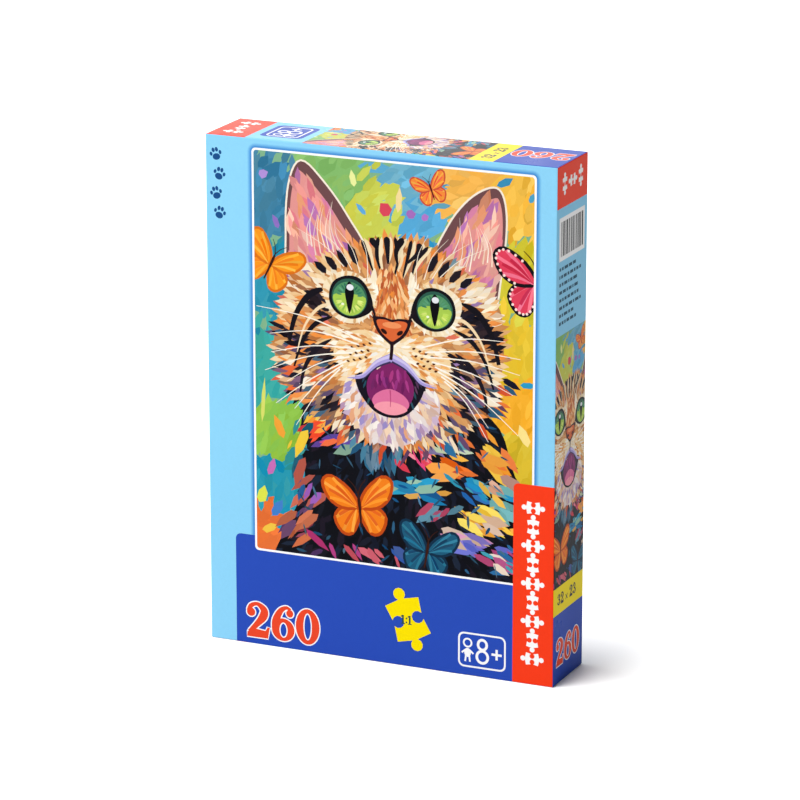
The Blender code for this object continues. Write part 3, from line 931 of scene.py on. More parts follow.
def numeral_shapes(digit):
    """The outlines of a heavy numeral one unit high, its holes, and its width."""
    if digit == "0":
        return [oval(0.36, 0.5, 0.35, 0.5, 0, 32)], [oval(0.36, 0.5, 0.125, 0.38, 0, 24)], 0.74
    if digit == "1":
        flag = [(0.0, 0.76), (0.14, 0.8), (0.3, 1.0), (0.14, 1.0), (0.0, 0.86)]
        return [box(0.14, 0, 0.34, 1), flag, box(0.0, 0, 0.48, 0.1)], [], 0.52
    if digit == "2":
        arch = [(0.11, 0.72, 0.16), (0.17, 0.88, 0.13), (0.36, 0.945, 0.11), (0.545, 0.8, 0.21)]
        arch += [(0.53, 0.62, 0.24), (0.36, 0.4, 0.17), (0.11, 0.13, 0.12)]
        foot = [(0.04, 0), (0.66, 0), (0.72, 0.32), (0.65, 0.32), (0.59, 0.21), (0.3, 0.24), (0.05, 0.13)]
        return [pen(smooth(arch, False)), oval(0.165, 0.7, 0.125, 0.12), foot], [], 0.74
    if digit == "3":
        waist = (0.24, 0.53, 0.09)
        upper = [(0.13, 0.78, 0.14), (0.34, 0.94, 0.11), (0.5, 0.76, 0.2), (0.42, 0.58, 0.14), waist]
        lower = [waist, (0.46, 0.46, 0.15), (0.56, 0.27, 0.23), (0.36, 0.06, 0.12), (0.13, 0.2, 0.14)]
        balls = [oval(0.15, 0.76, 0.11, 0.1), oval(0.14, 0.23, 0.12, 0.11)]
        return [pen(smooth(upper, False)), pen(smooth(lower, False))] + balls, [], 0.7
    if digit == "6":
        stem = [(0.145, 0.33, 0.22), (0.17, 0.58, 0.22), (0.3, 0.84, 0.16), (0.47, 0.95, 0.1)]
        stem = pen(smooth(stem + [(0.6, 0.9, 0.08)], False))
        parts = [oval(0.375, 0.32, 0.335, 0.32, 0, 32), stem, oval(0.575, 0.8, 0.105, 0.11)]
        return parts, [oval(0.385, 0.31, 0.12, 0.215, 0, 24)], 0.74
    if digit == "x":
        rising, falling = ([(0.08, low), (0.28, 0.3), (0.48, 0.6 - low)] for low in (0.08, 0.52))
        return [ribbon(rising, 0.1, 0), ribbon(falling, 0.1, 0)], [], 0.6
    if digit == ":":
        return [oval(0.12, y, 0.1, 0.1) for y in (0.22, 0.66)], [], 0.26
    return [], [], 0.3


def paint_number(art, text, x, y, height, colour, ground, edge=None, turn=0.0, edge_width=0.5):
    """Numerals in a row. They start at x, y and may run at an angle."""
    at = 0.0
    for digit in text:
        parts, holes, width = numeral_shapes(digit)
        step = [[(at + px, py) for px, py in outline] for outline in parts + holes]
        step = [moved(outline, x, y, turn, height) for outline in step]
        parts, holes = step[: len(parts)], step[len(parts) :]
        if edge is not None:
            for part in parts:
                art.add(grown(part, edge_width), edge)
        for part in parts:
            art.add(part, colour)
        for hole in holes:
            if edge is not None:
                art.add(hole, edge)
                hole = grown(hole, -edge_width)
            art.add(hole, ground)
        at += width


def jigsaw(cx, cy, size, knob, turn=0.0, first=1):
    """A square jigsaw piece as a sign. first says whether its lower knob points out or in."""
    half = size / 2
    corners = [Vector(p) for p in box(-half, -half, half, half)]
    outline = []
    for i, start in enumerate(corners):
        side = first if i % 2 == 0 else -first
        outline += cut_edge(start, corners[(i + 1) % 4], side, 0.0, knob, knob * 1.25, 9)
    return moved(outline, cx, cy, turn)


def paint_chain(art, count, x, y, step_x, step_y, size, knob, first):
    """A row of white jigsaw pieces, each turned the other way from the one before."""
    for k in range(count):
        art.add(jigsaw(x + step_x * k, y + step_y * k, size, knob, 0.0, first * (-1) ** k), WHITE)


def cut_edge(start, end, side, shift, radius, reach, steps):
    """Points along one edge of a piece, from start up to its end. Side 0 is a straight border edge."""
    points = [start]
    if side == 0:
        return points
    along = (end - start).normalized()
    out = Vector((along.y, -along.x)) * side
    centre = (start + end) / 2 + along * shift + out * reach
    open_angle = math.radians(150)
    for step in range(steps + 1):
        turn = open_angle * (2 * step / steps - 1)
        points.append(centre + (along * math.sin(turn) + out * math.cos(turn)) * radius)
    return points


def paint_paw(art, x, y, size, turn, colour):
    """A paw print: the pad and four toes."""
    marks = [(0, -0.16, 0.3, 0.24)]
    for side in (-1, 1):
        marks += [(0.36 * side, 0.1, 0.11, 0.15), (0.13 * side, 0.34, 0.12, 0.17)]
    for px, py, rx, ry in marks:
        place = moved([(px, py)], x, y, turn, size)[0]
        art.add(oval(*place, size * rx, size * ry, turn, 12), colour)


def paint_badge(art, x, y, width, height, edge, ground, turn=0.0):
    """The age badge: a child and 8+ in thin lines, in a rounded frame."""
    line, heavy = 0.05, 0.075
    wide = width / height

    def place(outline, colour):
        art.add(moved(outline, x, y, turn, height), colour)

    def ring(cx, cy, rx, ry, thick):
        place(oval(cx, cy, rx, ry, 0, 28), edge)
        place(oval(cx, cy, rx - thick, ry - thick, 0, 28), ground)

    def stroke(points, thick):
        place(pen([(px, py, thick) for px, py in smooth(points, False, LINE_STEPS)]), edge)

    place(box(0, 0, wide, 1, 0.17), edge)
    place(box(line, line, wide - line, 1 - line, 0.13), ground)
    cx = wide * 0.2
    for side in (-1, 1):
        stroke(mirrored(side, cx, [(0.07, 0.16), (0.05, 0.34)]), line)
    stroke([(cx - 0.17, 0.4), (cx, 0.52), (cx + 0.17, 0.4)], line)
    place(oval(cx, 0.42, 0.1, 0.13, 0, 16), edge)
    ring(cx, 0.7, 0.14, 0.14, line)
    ring(wide * 0.51, 0.34, 0.2, 0.21, heavy)
    ring(wide * 0.51, 0.69, 0.165, 0.18, heavy)
    plus_x, plus_y, reach = wide * 0.81, 0.46, 0.15
    stroke([(plus_x - reach, plus_y), (plus_x + reach, plus_y)], heavy * 0.9)
    stroke([(plus_x, plus_y - reach), (plus_x, plus_y + reach)], heavy * 0.9)


def paint_glow(art, x0, y0, x1, y1):
    """The soft dark glow round a picture's border."""
    for by, share in ((2.2, 0.12), (1.8, 0.28), (1.4, 0.48), (1.0, 0.7), (0.6, 0.85)):
        colour = mix(hue(SKY_BLUE), hue(GLOW_BLUE), share)
        art.strip(x0 - by, y0 - by, x1 + by, y1 + by, colour, FRAME_ROUNDING + by)


def paint_piece_count(art, x, y, height, edge_width, turn=0.0):
    """The number of pieces, in red with a white edge on deep blue."""
    paint_number(art, "260", x, y, height, NUMBER_RED, DEEP_BLUE, WHITE, turn, edge_width)


def paint_size(art, x, y, turn=0.0):
    """The size of the finished puzzle, on yellow."""
    paint_number(art, "32 x 23", x, y, 5.6, 0x2A2E3A, YELLOW, None, turn)


def paste_picture(art, picture, window, radius, place, coarse=0.0):
    """Pastes the picture through a window. place is its shift, scale and turn."""
    art.open_window(box(*window, radius))
    art.paste(picture, *place, coarse)
    art.close_window()


def blank_page(seed, width, height):
    """A page of plain light blue."""
    art = Painting(seed)
    art.strip(-OVER, -OVER, width + OVER, height + OVER, SKY_BLUE)
    return art


def front_painting(picture):
    """The lid's front."""
    art = blank_page(3, LID_W, LID_H)
    x0, y0, x1, y1 = 23.6, 46.9, 164.9, 240.6
    paint_glow(art, x0, y0, x1, y1)
    art.strip(13.5, -OVER, 177, 54, DEEP_BLUE, 2.7, "d")
    art.strip(x0, y0, x1, y1, WHITE, FRAME_ROUNDING)
    window = (x0 + FRAME, y0 + FRAME, x1 - FRAME, y1 - FRAME)
    paste_picture(art, picture, window, WINDOW_ROUNDING, (x0, y0, 1.0, 0.0))
    art.strip(154.8, -OVER, 177, 96.2, LABEL_RED, 2.4, "d")
    paint_chain(art, 9, 164.6, 12.5, 0, 9.1, 6.0, 1.25, -1)
    for k in range(4):
        paint_paw(art, 6.2 + 0.8 * (-1) ** k, 208 + 9.2 * k, 6.6, -0.25 * (-1) ** k, INK)
    paint_piece_count(art, 18.2, 3.4, 17.6, 0.55)
    art.add(jigsaw(102.2, 23.1, 18.0, 3.0, SIGN_TURN), YELLOW)
    paint_number(art, "1:1", 98.6, 20.6, 4.4, 0x2F4F48, YELLOW)
    paint_badge(art, 127.6, 4.1, 23.9, 17.0, WHITE, DEEP_BLUE)
    return art


def paint_bars(art, x0, x1, low, high):
    """The bars of a barcode."""
    at = x0
    while at < x1:
        width = art.rng.choice((0.5, 0.5, 1.0, 1.5))
        art.strip(at, low, at + width, high, 0x15181C)
        at += width + art.rng.choice((0.5, 0.5, 1.0))


def paint_small_print(art, rows, top, pitch):
    """Rows of dark dashes in place of small print."""
    for row in range(rows):
        y = top - pitch * row
        x = 3.0
        end = art.rng.uniform(20, 31)
        while x < end:
            width = art.rng.uniform(1.2, 4.6)
            art.strip(x, y, min(x + width, end), y + 1.5, 0x1F5068)
            x += width + 0.9


def side_painting(picture):
    """A long side of the lid, for the left and the right."""
    art = blank_page(4, LID_D, LID_H)
    right = LID_D + OVER
    blue_top, yellow_top, picture_top, label_low = 33.9, 47, 166.4, 225.5
    art.strip(-OVER, label_low, right, LID_H + OVER, LABEL_RED)
    paint_chain(art, 3, 8.5, 236.0, 9.6, 0, 5.4, 1.1, 1)
    art.strip(2.6, 201, 33, 221, WHITE)
    paint_bars(art, 4.6, 30.2, 203, 219)
    paint_small_print(art, 8, 196.5, 3.6)
    window = (-OVER, yellow_top, right, picture_top)
    paste_picture(art, picture, window, 0.0, (-25.1, yellow_top, 0.615, 0.0), SMALLEST_STROKE)
    art.strip(-OVER, blue_top, right, yellow_top, YELLOW)
    paint_size(art, 4.6, 38.0)
    art.strip(-OVER, -OVER, right, blue_top, DEEP_BLUE)
    paint_piece_count(art, 3.4, 8.5, 13.2, 0.45)
    return art


def top_painting(picture):
    """A short side of the lid, for the top and the bottom."""
    art = blank_page(5, LID_W, LID_D)
    back, quarter = LID_D + OVER, math.pi / 2
    label_right, picture_left, picture_right, yellow_right = 20.2, 49.2, 131.6, 143.7
    art.strip(-OVER, -OVER, label_right, back, LABEL_RED)
    paint_chain(art, 3, 10.0, 9.0, 0, 9.4, 5.4, 1.1, -1)
    art.strip(24.0, 6.0, 45.5, 30.0, DEEP_BLUE, 3.0)
    paint_badge(art, 43.0, 7.5, 20.5, 16.5, WHITE, DEEP_BLUE, quarter)
    window = (picture_left, -OVER, picture_right, back)
    paste_picture(art, picture, window, 0.0, (141.0, -12.0, 0.50, quarter), SMALLEST_STROKE)
    art.strip(picture_right, -OVER, yellow_right, back, YELLOW)
    paint_size(art, 140.4, 5.0, quarter)
    art.strip(yellow_right, -OVER, LID_W + OVER, back, DEEP_BLUE)
    paint_piece_count(art, 173.5, 27.5, 13.2, 0.45, math.pi)
    return art


def back_painting(picture, width, height):
    """The outside of the base: the picture, the number of pieces, a jigsaw sign and the age badge."""
    art = blank_page(6, width, height)
    art.strip(-OVER, -OVER, width + OVER, 46, DEEP_BLUE)
    x0, y0, x1, y1 = 24, 56, width - 24, height - 14
    art.strip(x0, y0, x1, y1, WHITE, FRAME_ROUNDING)
    x0, y0, x1, y1 = x0 + FRAME, y0 + FRAME, x1 - FRAME, y1 - FRAME
    scale = max((x1 - x0) / PICTURE_W, (y1 - y0) / PICTURE_H)
    paste_picture(art, picture, (x0, y0, x1, y1), WINDOW_ROUNDING, (x0, y0, scale, 0.0), 1.5)
    paint_piece_count(art, 14, 14, 17.6, 0.55)
    art.add(jigsaw(92, 23, 18.0, 3.0, SIGN_TURN), YELLOW)
    paint_badge(art, width - 44, 14, 23.9, 17.0, WHITE, DEEP_BLUE)
    return art




# ---------------------------------------------------------------- materials


def new_material(name):
    """An empty node material. Gives it, its node tree and its Principled shader."""
    material = bpy.data.materials.new(name)
    material.use_nodes = True
    tree = material.node_tree
    return material, tree, tree.nodes["Principled BSDF"]


def add_node(tree, kind, **settings):
    """A node with some of its own settings."""
    node = tree.nodes.new(kind)
    for key, value in settings.items():
        setattr(node, key, value)
    return node


def noise_node(tree, place, scale, detail=4.0, stretch=(1, 1, 1)):
    """Noise in the object's own space. Scale is in features per metre."""
    mapping = add_node(tree, "ShaderNodeMapping")
    mapping.inputs["Scale"].default_value = stretch
    tree.links.new(place, mapping.inputs["Vector"])
    texture = add_node(tree, "ShaderNodeTexNoise")
    texture.inputs["Scale"].default_value = scale
    texture.inputs["Detail"].default_value = detail
    tree.links.new(mapping.outputs["Vector"], texture.inputs["Vector"])
    return texture.outputs["Fac"]


def span(tree, value, low, high, from_low=0.3, from_high=0.7):
    """A value moved from one range to another."""
    node = add_node(tree, "ShaderNodeMapRange")
    node.inputs["From Min"].default_value = from_low
    node.inputs["From Max"].default_value = from_high
    node.inputs["To Min"].default_value = low
    node.inputs["To Max"].default_value = high
    tree.links.new(value, node.inputs["Value"])
    return node.outputs["Result"]


def add_bump(tree, shader, height, strength, distance, under=None):
    """A bump on the shader's normal. Gives its output, so that another can go on top."""
    bump = add_node(tree, "ShaderNodeBump")
    bump.inputs["Strength"].default_value = strength
    bump.inputs["Distance"].default_value = distance
    tree.links.new(height, bump.inputs["Height"])
    if under is not None:
        tree.links.new(under, bump.inputs["Normal"])
    tree.links.new(bump.outputs["Normal"], shader.inputs["Normal"])
    return bump.outputs["Normal"]


def own_place(tree):
    """Places in the object's own space."""
    return add_node(tree, "ShaderNodeTexCoord").outputs["Object"]


def printed_material(name, roughness, bump, ink):
    """Varnished printed paper. Its colours are on the mesh."""
    material, tree, shader = new_material(name)
    place = own_place(tree)
    colour = add_node(tree, "ShaderNodeAttribute", attribute_name="print").outputs["Color"]
    wear = noise_node(tree, place, 900.0, 2.0)
    mixer = add_node(tree, "ShaderNodeMix", data_type="RGBA", blend_type="MULTIPLY")
    mixer.inputs["Factor"].default_value = 1.0
    tree.links.new(colour, mixer.inputs["A"])
    grain = add_node(tree, "ShaderNodeCombineColor")
    level = span(tree, wear, 1 - ink, 1.0)
    for channel in ("Red", "Green", "Blue"):
        tree.links.new(level, grain.inputs[channel])
    tree.links.new(grain.outputs["Color"], mixer.inputs["B"])
    tree.links.new(mixer.outputs["Result"], shader.inputs["Base Color"])
    patches = noise_node(tree, place, 45.0, 3.0)
    tree.links.new(span(tree, patches, roughness - 0.04, roughness + 0.06), shader.inputs["Roughness"])
    shader.inputs["Specular IOR Level"].default_value = 0.02
    waves = add_bump(tree, shader, noise_node(tree, place, 28.0, 2.0), bump, 0.0006)
    add_bump(tree, shader, noise_node(tree, place, 1500.0, 3.0), 0.06, 0.0001, waves)
    return material


def board_material(name, noise_settings, dark, pale, roughness, bump):
    """Raw board with fibres and specks. roughness is its lowest and highest."""
    material, tree, shader = new_material(name)
    fibres = noise_node(tree, own_place(tree), *noise_settings)
    ramp = add_node(tree, "ShaderNodeValToRGB")
    for element, position, colour in zip(ramp.color_ramp.elements, (0.3, 0.7), (dark, pale)):
        element.position = position
        element.color = (*colour, 1)
    tree.links.new(fibres, ramp.inputs["Fac"])
    tree.links.new(ramp.outputs["Color"], shader.inputs["Base Color"])
    tree.links.new(span(tree, fibres, *roughness), shader.inputs["Roughness"])
    add_bump(tree, shader, fibres, bump, 0.0001)
    return material


def film_material():
    """Clear thin plastic film."""
    material, tree, shader = new_material("clear_poly_film")
    shader.inputs["Base Color"].default_value = (0.78, 0.82, 0.85, 1)
    creases = noise_node(tree, own_place(tree), 60.0, 4.0, (1, 1, 0.5))
    tree.links.new(span(tree, creases, 0.08, 0.2), shader.inputs["Roughness"])
    edge = add_node(tree, "ShaderNodeLayerWeight")
    edge.inputs["Blend"].default_value = 0.35
    tree.links.new(span(tree, edge.outputs["Facing"], 0.03, 0.26, 0.0, 1.0), shader.inputs["Alpha"])
    add_bump(tree, shader, creases, 0.5, 0.0015)
    return material


# ---------------------------------------------------------------- the trays

CORNER_BEND = math.pi / 4  # each of two panels covers half of the edge they share
RIM_BEND = math.pi / 2
WRAP_NAMES = {
    "lid": ("lid_print_front", "lid_print", "lid_print_rim"),
    "base": ("base_print_back", "base_wall", "base_rim"),
}


def tray_sides(low, high, rim_back):
    """Each wall of a tray: name, lower left corner, directions, size and how far its edges bend."""
    width, depth, height = high - low
    front = CORNER_BEND if rim_back else RIM_BEND
    back = RIM_BEND if rim_back else CORNER_BEND
    c = CORNER_BEND
    return {
        "right": ((high.x, low.y, low.z), (0, 1, 0), (0, 0, 1), (depth, height), (front, back, c, c)),
        "left": ((low.x, high.y, low.z), (0, -1, 0), (0, 0, 1), (depth, height), (back, front, c, c)),
        "top": ((low.x, low.y, high.z), (1, 0, 0), (0, 1, 0), (width, depth), (c, c, front, back)),
        "bottom": ((low.x, high.y, low.z), (1, 0, 0), (0, -1, 0), (width, depth), (c, c, back, front)),
    }


def add_rim(name, low, high, open_y, into, material, body, slot):
    """The strip of wrap that goes over a tray's rim and back down inside. into is +1 or -1 along Y."""
    steps = [(FOLD, 0.0), (WALL - FOLD, 0.0)]
    for k in (1, 2, 3):
        a = math.radians(30 * k)
        steps.append((WALL - FOLD + FOLD * math.sin(a), FOLD * (1 - math.cos(a))))
    steps.append((WALL, TURN_IN))
    points, faces = [], []
    for inset, down in steps:
        x0, x1, z0, z1 = low.x + inset, high.x - inset, low.z + inset, high.z - inset
        y = open_y + into * down
        points += [(x0, y, z0), (x1, y, z0), (x1, y, z1), (x0, y, z1)]
    for ring in range(len(steps) - 1):
        for i in range(4):
            j = (i + 1) % 4
            face = [ring * 4 + i, ring * 4 + j, ring * 4 + 4 + j, ring * 4 + 4 + i]
            faces.append(face if into > 0 else face[::-1])
    colour = hue(SKY_BLUE)
    mesh = coloured_mesh(name, points, faces, [[colour] * 4] * len(faces))
    return add_piece(name, mesh, material, body, slot)


def build_wrap(body, low, high, main, sheet_for, rim_back, material, slot):
    """The wrap of a tray: its big panel, four walls and the rim. main is the big panel's name and sheet."""
    big, wall, rim = WRAP_NAMES[body]
    use = (material, body, slot)
    bend_all = (CORNER_BEND,) * 4
    size = (high.x - low.x, high.z - low.z)
    corner = low if rim_back else (high.x, high.y, low.z)
    across = (1, 0, 0) if rim_back else (-1, 0, 0)
    parts = [add_panel(big, main, corner, across, (0, 0, 1), size, bend_all, *use)]
    for name, place in tray_sides(low, high, rim_back).items():
        parts.append(add_panel(f"{wall}_{name}", sheet_for(name, place[3]), *place, *use))
    open_y, into = (high.y, -1) if rim_back else (low.y, 1)
    parts.append(add_rim(rim, low, high, open_y, into, *use))
    for part in parts:
        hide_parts(f"{body}_wrap")


def build_lid(picture, material):
    """The printed wrap of the lid."""
    front = print_sheet(front_painting(picture), LID_W, LID_H)
    side = print_sheet(side_painting(picture), LID_D, LID_H)
    end = print_sheet(top_painting(picture), LID_W, LID_D)

    def sheet_for(name, size):
        return side if name in ("left", "right") else end

    build_wrap("lid", LID_LOW, LID_HIGH, front, sheet_for, True, material, "printed_wrap")


def build_base(picture, material):
    """The wrap of the base: a printed back and plain walls."""
    width, _, height = (BASE_HIGH - BASE_LOW) / MM
    back = print_sheet(back_painting(picture, width, height), width, height)

    def sheet_for(name, size):
        wide, tall = (length / MM for length in size)
        return print_sheet(blank_page(8, wide, tall), wide, tall)

    build_wrap("base", BASE_LOW, BASE_HIGH, back, sheet_for, False, material, "plain_wrap")




# ------------------------------------------------------------ bag and pieces

# The cut of the puzzle, in millimetres
COLUMNS = 13
ROWS = 20
PIECE_COUNT = COLUMNS * ROWS
PUZZLE_W = 230.0
PUZZLE_H = 320.0
PIECE_W = PUZZLE_W / COLUMNS
PIECE_H = PUZZLE_H / ROWS
THICKNESS = 1.8
KNOB_RADIUS = 2.0
KNOB_REACH = 2.4
KNOB_DRIFT = 0.7
KNOB_STEPS = 7
UPRIGHT_LINES = 40  # what the number of an upright cut line starts at
LEAST_STROKE = 8.0  # of the picture on the pieces

# How the loose pieces lie in the bag
LOOSE_PIECES = 48  # the pieces that are nodes of the CAD
PER_ROW = 5
ROWS_IN_LAYER = 5
CELL = 27.0
LAYER_PITCH = 2.36
FIRST_LAYER_Y = -11.2
FIRST_ROW_Z = 20.8
LAYER_SHIFT = 2.0
SHUFFLE = 61
TURN_STEP = 137.5  # degrees from one piece to the next

# Colours of the bare board, which the grey material replaces in the render
EDGE_GREY = (0.75, 0.74, 0.72)
BACK_GREY = (0.6, 0.6, 0.58)
PRINTED, BARE = 0, 1  # which of a piece's two materials a face has


def knob_side(line, place):
    """Which side the knob on an inner cut line is on: +1 or -1."""
    return 1 if math.sin(12.9 * line + 78.2 * place) > 0 else -1


def knob_shift(line, place):
    """How far the knob on a cut line sits from the middle of its edge."""
    return KNOB_DRIFT * math.sin(4.7 * line + 2.3 * place)


def piece_outline(column, row):
    """The outline of one piece about its own centre, running anticlockwise."""
    corners = [Vector(p) for p in box(-PIECE_W / 2, -PIECE_H / 2, PIECE_W / 2, PIECE_H / 2)]
    upright = UPRIGHT_LINES + column
    # For each edge: its cut line and its place on it, whether it is a border, and which way it runs
    edges = (
        (row, column, row == 0, 1),
        (upright + 1, row, column == COLUMNS - 1, 1),
        (row + 1, column, row == ROWS - 1, -1),
        (upright, row, column == 0, -1),
    )
    points = []
    for k, (line, place, border, way) in enumerate(edges):
        out = 1 if k in (1, 2) else -1
        side = 0 if border else out * knob_side(line, place)
        shift = way * knob_shift(line, place)
        points += cut_edge(corners[k], corners[(k + 1) % 4], side, shift, KNOB_RADIUS, KNOB_REACH, KNOB_STEPS)
    return points


def piece_number(slot):
    """Which piece of the puzzle lies in a slot of the bag: its column and row."""
    row, column = divmod((SHUFFLE * slot + 7) % PIECE_COUNT, COLUMNS)
    return column, row


def piece_middle(number):
    """Where the middle of a piece is in the whole puzzle. Pieces are numbered along the rows."""
    row, column = divmod(number, COLUMNS)
    return Vector(((column + 0.5) * PIECE_W, (row + 0.5) * PIECE_H))


def slot_place(slot):
    """Where the piece in a slot of the bag lies, and how far it is turned in its layer."""
    layer, in_layer = divmod(slot, PER_ROW * ROWS_IN_LAYER)
    row, column = divmod(in_layer, PER_ROW)
    stagger = CELL / 4 if (row + layer) % 2 else -CELL / 4
    x = (column - (PER_ROW - 1) / 2) * CELL + stagger + LAYER_SHIFT * math.sin(2.4 * layer)
    y = FIRST_LAYER_Y + LAYER_PITCH * layer
    z = FIRST_ROW_Z + row * CELL * math.sqrt(3) / 2
    return Vector((x, y, z)), math.radians((TURN_STEP * slot) % 360)


def cut_puzzle(picture):
    """The big picture cut into pieces: for each piece its points, triangles and colours."""
    art = Painting(9)
    scale = PUZZLE_H / PICTURE_H
    middle_x = (PUZZLE_W - PICTURE_W * scale) / 2
    paste_picture(art, picture, (0, 0, PUZZLE_W, PUZZLE_H), 0.0, (middle_x, 0, scale, 0.0), LEAST_STROKE)
    tags = []
    for number in range(PIECE_COUNT):
        row, column = divmod(number, COLUMNS)
        tags.append([tuple(piece_middle(number) + p) for p in piece_outline(column, row)])
    flat, triangles, colours, tag_of = triangulate(art, PUZZLE_W, PUZZLE_H, (), tags)
    cuts = [([], [], [], {}) for _ in tags]
    for triangle, corners, tag in zip(triangles, colours, tag_of):
        if tag < 0:
            continue
        points, faces, shades, seen = cuts[tag]
        for v in triangle:
            if v not in seen:
                seen[v] = len(points)
                points.append((*(flat[v] - piece_middle(tag)), THICKNESS / 2))
        faces.append([seen[v] for v in triangle])
        shades.append(corners)
    return cuts


def piece_solid(cut, column, row):
    """One piece: its print, a pressed edge, its sides and its back, with the kind of each face."""
    points, faces, colours = list(cut[0]), [list(f) for f in cut[1]], list(cut[2])
    kinds = [PRINTED] * len(faces)
    outline = [tuple(p) for p in piece_outline(column, row)]
    count = len(outline)
    half = THICKNESS / 2
    levels = ((0.0, half), (0.07, half - 0.05), (0.1, half - 0.16), (0.1, -half + 0.1), (0.0, -half))
    first = len(points)
    for by, z in levels:
        ring = grown(outline, by) if by else outline
        points += [(x, y, z) for x, y in ring]
    for top in range(first, first + (len(levels) - 1) * count, count):
        for i in range(count):
            j = (i + 1) % count
            faces.append([top + i, top + count + i, top + count + j, top + j])
            colours.append([EDGE_GREY] * 4)
            kinds.append(BARE)
    faces.append(list(reversed(range(len(points) - count, len(points)))))
    colours.append([BACK_GREY] * count)
    kinds.append(BARE)
    return points, faces, colours, kinds


def placed(points, slot, rng, loose):
    """A piece's points in its slot of the bag, in metres. A loose one may lie face down."""
    place, turn = slot_place(slot)
    flip = math.pi if loose and rng.random() < 0.5 else 0.0
    wobble, nudge = (5.0, 2.5) if loose else (2.0, 0.25)
    tilt = [math.radians(rng.uniform(-wobble, wobble)) for _ in range(2)]
    turned = Euler((math.radians(90) + flip, turn, 0)).to_matrix()
    place += Vector([rng.uniform(-reach, reach) for reach in (nudge, 0.2, nudge)])
    leaning = Euler((tilt[0], 0, tilt[1])).to_matrix() @ turned
    return [(leaning @ Vector(p) + place) * MM for p in points]


def build_pieces(picture, printed, grey):
    """The pieces in the bag: the named loose ones and the rest behind them."""
    cuts = cut_puzzle(picture)
    rng = random.Random(12)
    heap = ([], [], [], [])
    for slot in range(PIECE_COUNT):
        column, row = piece_number(slot)
        points, faces, colours, kinds = piece_solid(cuts[row * COLUMNS + column], column, row)
        points = placed(points, slot, rng, slot >= LOOSE_PIECES)
        if slot < LOOSE_PIECES:
            name = f"puzzle_piece_{slot + 1:02d}"
            thing = add_solid(name + "_printed", points, faces, colours, kinds, printed, grey)
            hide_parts(name)
            continue
        shift = len(heap[0])
        faces = [[v + shift for v in face] for face in faces]
        for whole, part in zip(heap, (points, faces, colours, kinds)):
            whole.extend(part)
    thing = add_solid("puzzle_pieces_behind", *heap, printed, grey)
    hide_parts("piece_heap")


def add_solid(name, points, faces, colours, kinds, printed, grey):
    """A jigsaw piece, or several, with printed faces and grey board ones."""
    mesh = coloured_mesh(name, points, faces, colours)
    thing = add_piece(name, mesh, printed, "bag", "piece_board")
    mesh.materials.append(grey)
    mesh.polygons.foreach_set("material_index", kinds)
    return thing


# The bag, in millimetres
BAG_MIDDLE_Y = 1.2
BAG_BOTTOM = 5.8
BAG_HALF_WIDTH = 80.0
BAG_HALF_DEPTH = 14.6
BAG_CORNER = 7.0
BAG_ROUNDING = 4.0
BAG_FILLED = 124.0
BAG_SEAL = 160.0
SEAL_FIN = 8.0
SEAL_HALF_DEPTH = 0.9
SEAL_RIDGE = 0.25
VENT = 3.0
VENT_HEIGHT = BAG_BOTTOM + BAG_FILLED + 12.0
VENT_X = BAG_HALF_WIDTH / 2

# How finely the film is made
STEPS_ACROSS = 54
CORNER_STEPS = 8
ROUNDING_STEPS = 6
FILLED_STEPS = 40
FOLD_OVER_STEPS = 22
SEAL_STEPS = 12


def bag_ring(half_width, half_depth, radius):
    """Places round a level section of the bag, with the way out at each."""
    ring = []
    along = half_width - radius
    for side in (-1, 1):
        for k in range(STEPS_ACROSS):
            ring.append((-side * (2 * k / STEPS_ACROSS - 1) * along, side * half_depth, 0.0, float(side)))
        for k in range(CORNER_STEPS):
            a = math.radians(90 - 180 * k / CORNER_STEPS)
            out_x, out_y = -side * math.cos(a), side * math.sin(a)
            x, y = -side * along + radius * out_x, side * (half_depth - radius) + radius * out_y
            ring.append((x, y, out_x, out_y))
    return ring


def bag_sections():
    """The height, half width and half depth of the bag's sections, from its bottom to its seal."""
    sections = []
    for k in range(ROUNDING_STEPS + 1):
        a = math.pi / 2 * k / ROUNDING_STEPS
        less = BAG_ROUNDING * (1 - math.sin(a))
        sections.append((BAG_ROUNDING * (1 - math.cos(a)), BAG_HALF_WIDTH - less, BAG_HALF_DEPTH - less))
    rise = BAG_FILLED - BAG_ROUNDING
    for k in range(1, FILLED_STEPS):
        sections.append((BAG_ROUNDING + rise * k / FILLED_STEPS, BAG_HALF_WIDTH, BAG_HALF_DEPTH))
    fold = BAG_SEAL - BAG_FILLED - SEAL_FIN
    for k in range(FOLD_OVER_STEPS + 1):
        share = k / FOLD_OVER_STEPS
        ease = (1 + math.cos(math.pi * share)) / 2
        depth = SEAL_HALF_DEPTH + (BAG_HALF_DEPTH - SEAL_HALF_DEPTH) * ease
        sections.append((BAG_FILLED + fold * share, BAG_HALF_WIDTH, depth))
    for k in range(1, SEAL_STEPS + 1):
        depth = SEAL_HALF_DEPTH - SEAL_RIDGE * (k % 2)
        sections.append((BAG_SEAL - SEAL_FIN * (1 - k / SEAL_STEPS), BAG_HALF_WIDTH, depth))
    return [(BAG_BOTTOM + height, wide, deep) for height, wide, deep in sections]


def crumple(x, y, z, half_depth):
    """How far the film is drawn in at a place on the bag."""
    soft = noise.noise(Vector((x / 22, y / 22, z / 30)))
    sharp = 1 - abs(noise.noise(Vector((x / 11 + 0.25 * z / 11, y / 9, z / 26)))) * 2
    pleat = 0.5 + 0.5 * math.sin(x / 4.2 + 2.2 * noise.noise(Vector((x / 30, 0, z / 18))))
    high = min(1, max(0, (z - BAG_FILLED + 24) / 40))
    deep = 0.45 + 0.35 * soft + 0.45 * sharp**3 + 0.9 * high * pleat
    return max(0.0, deep) * min(1.0, half_depth / 5)


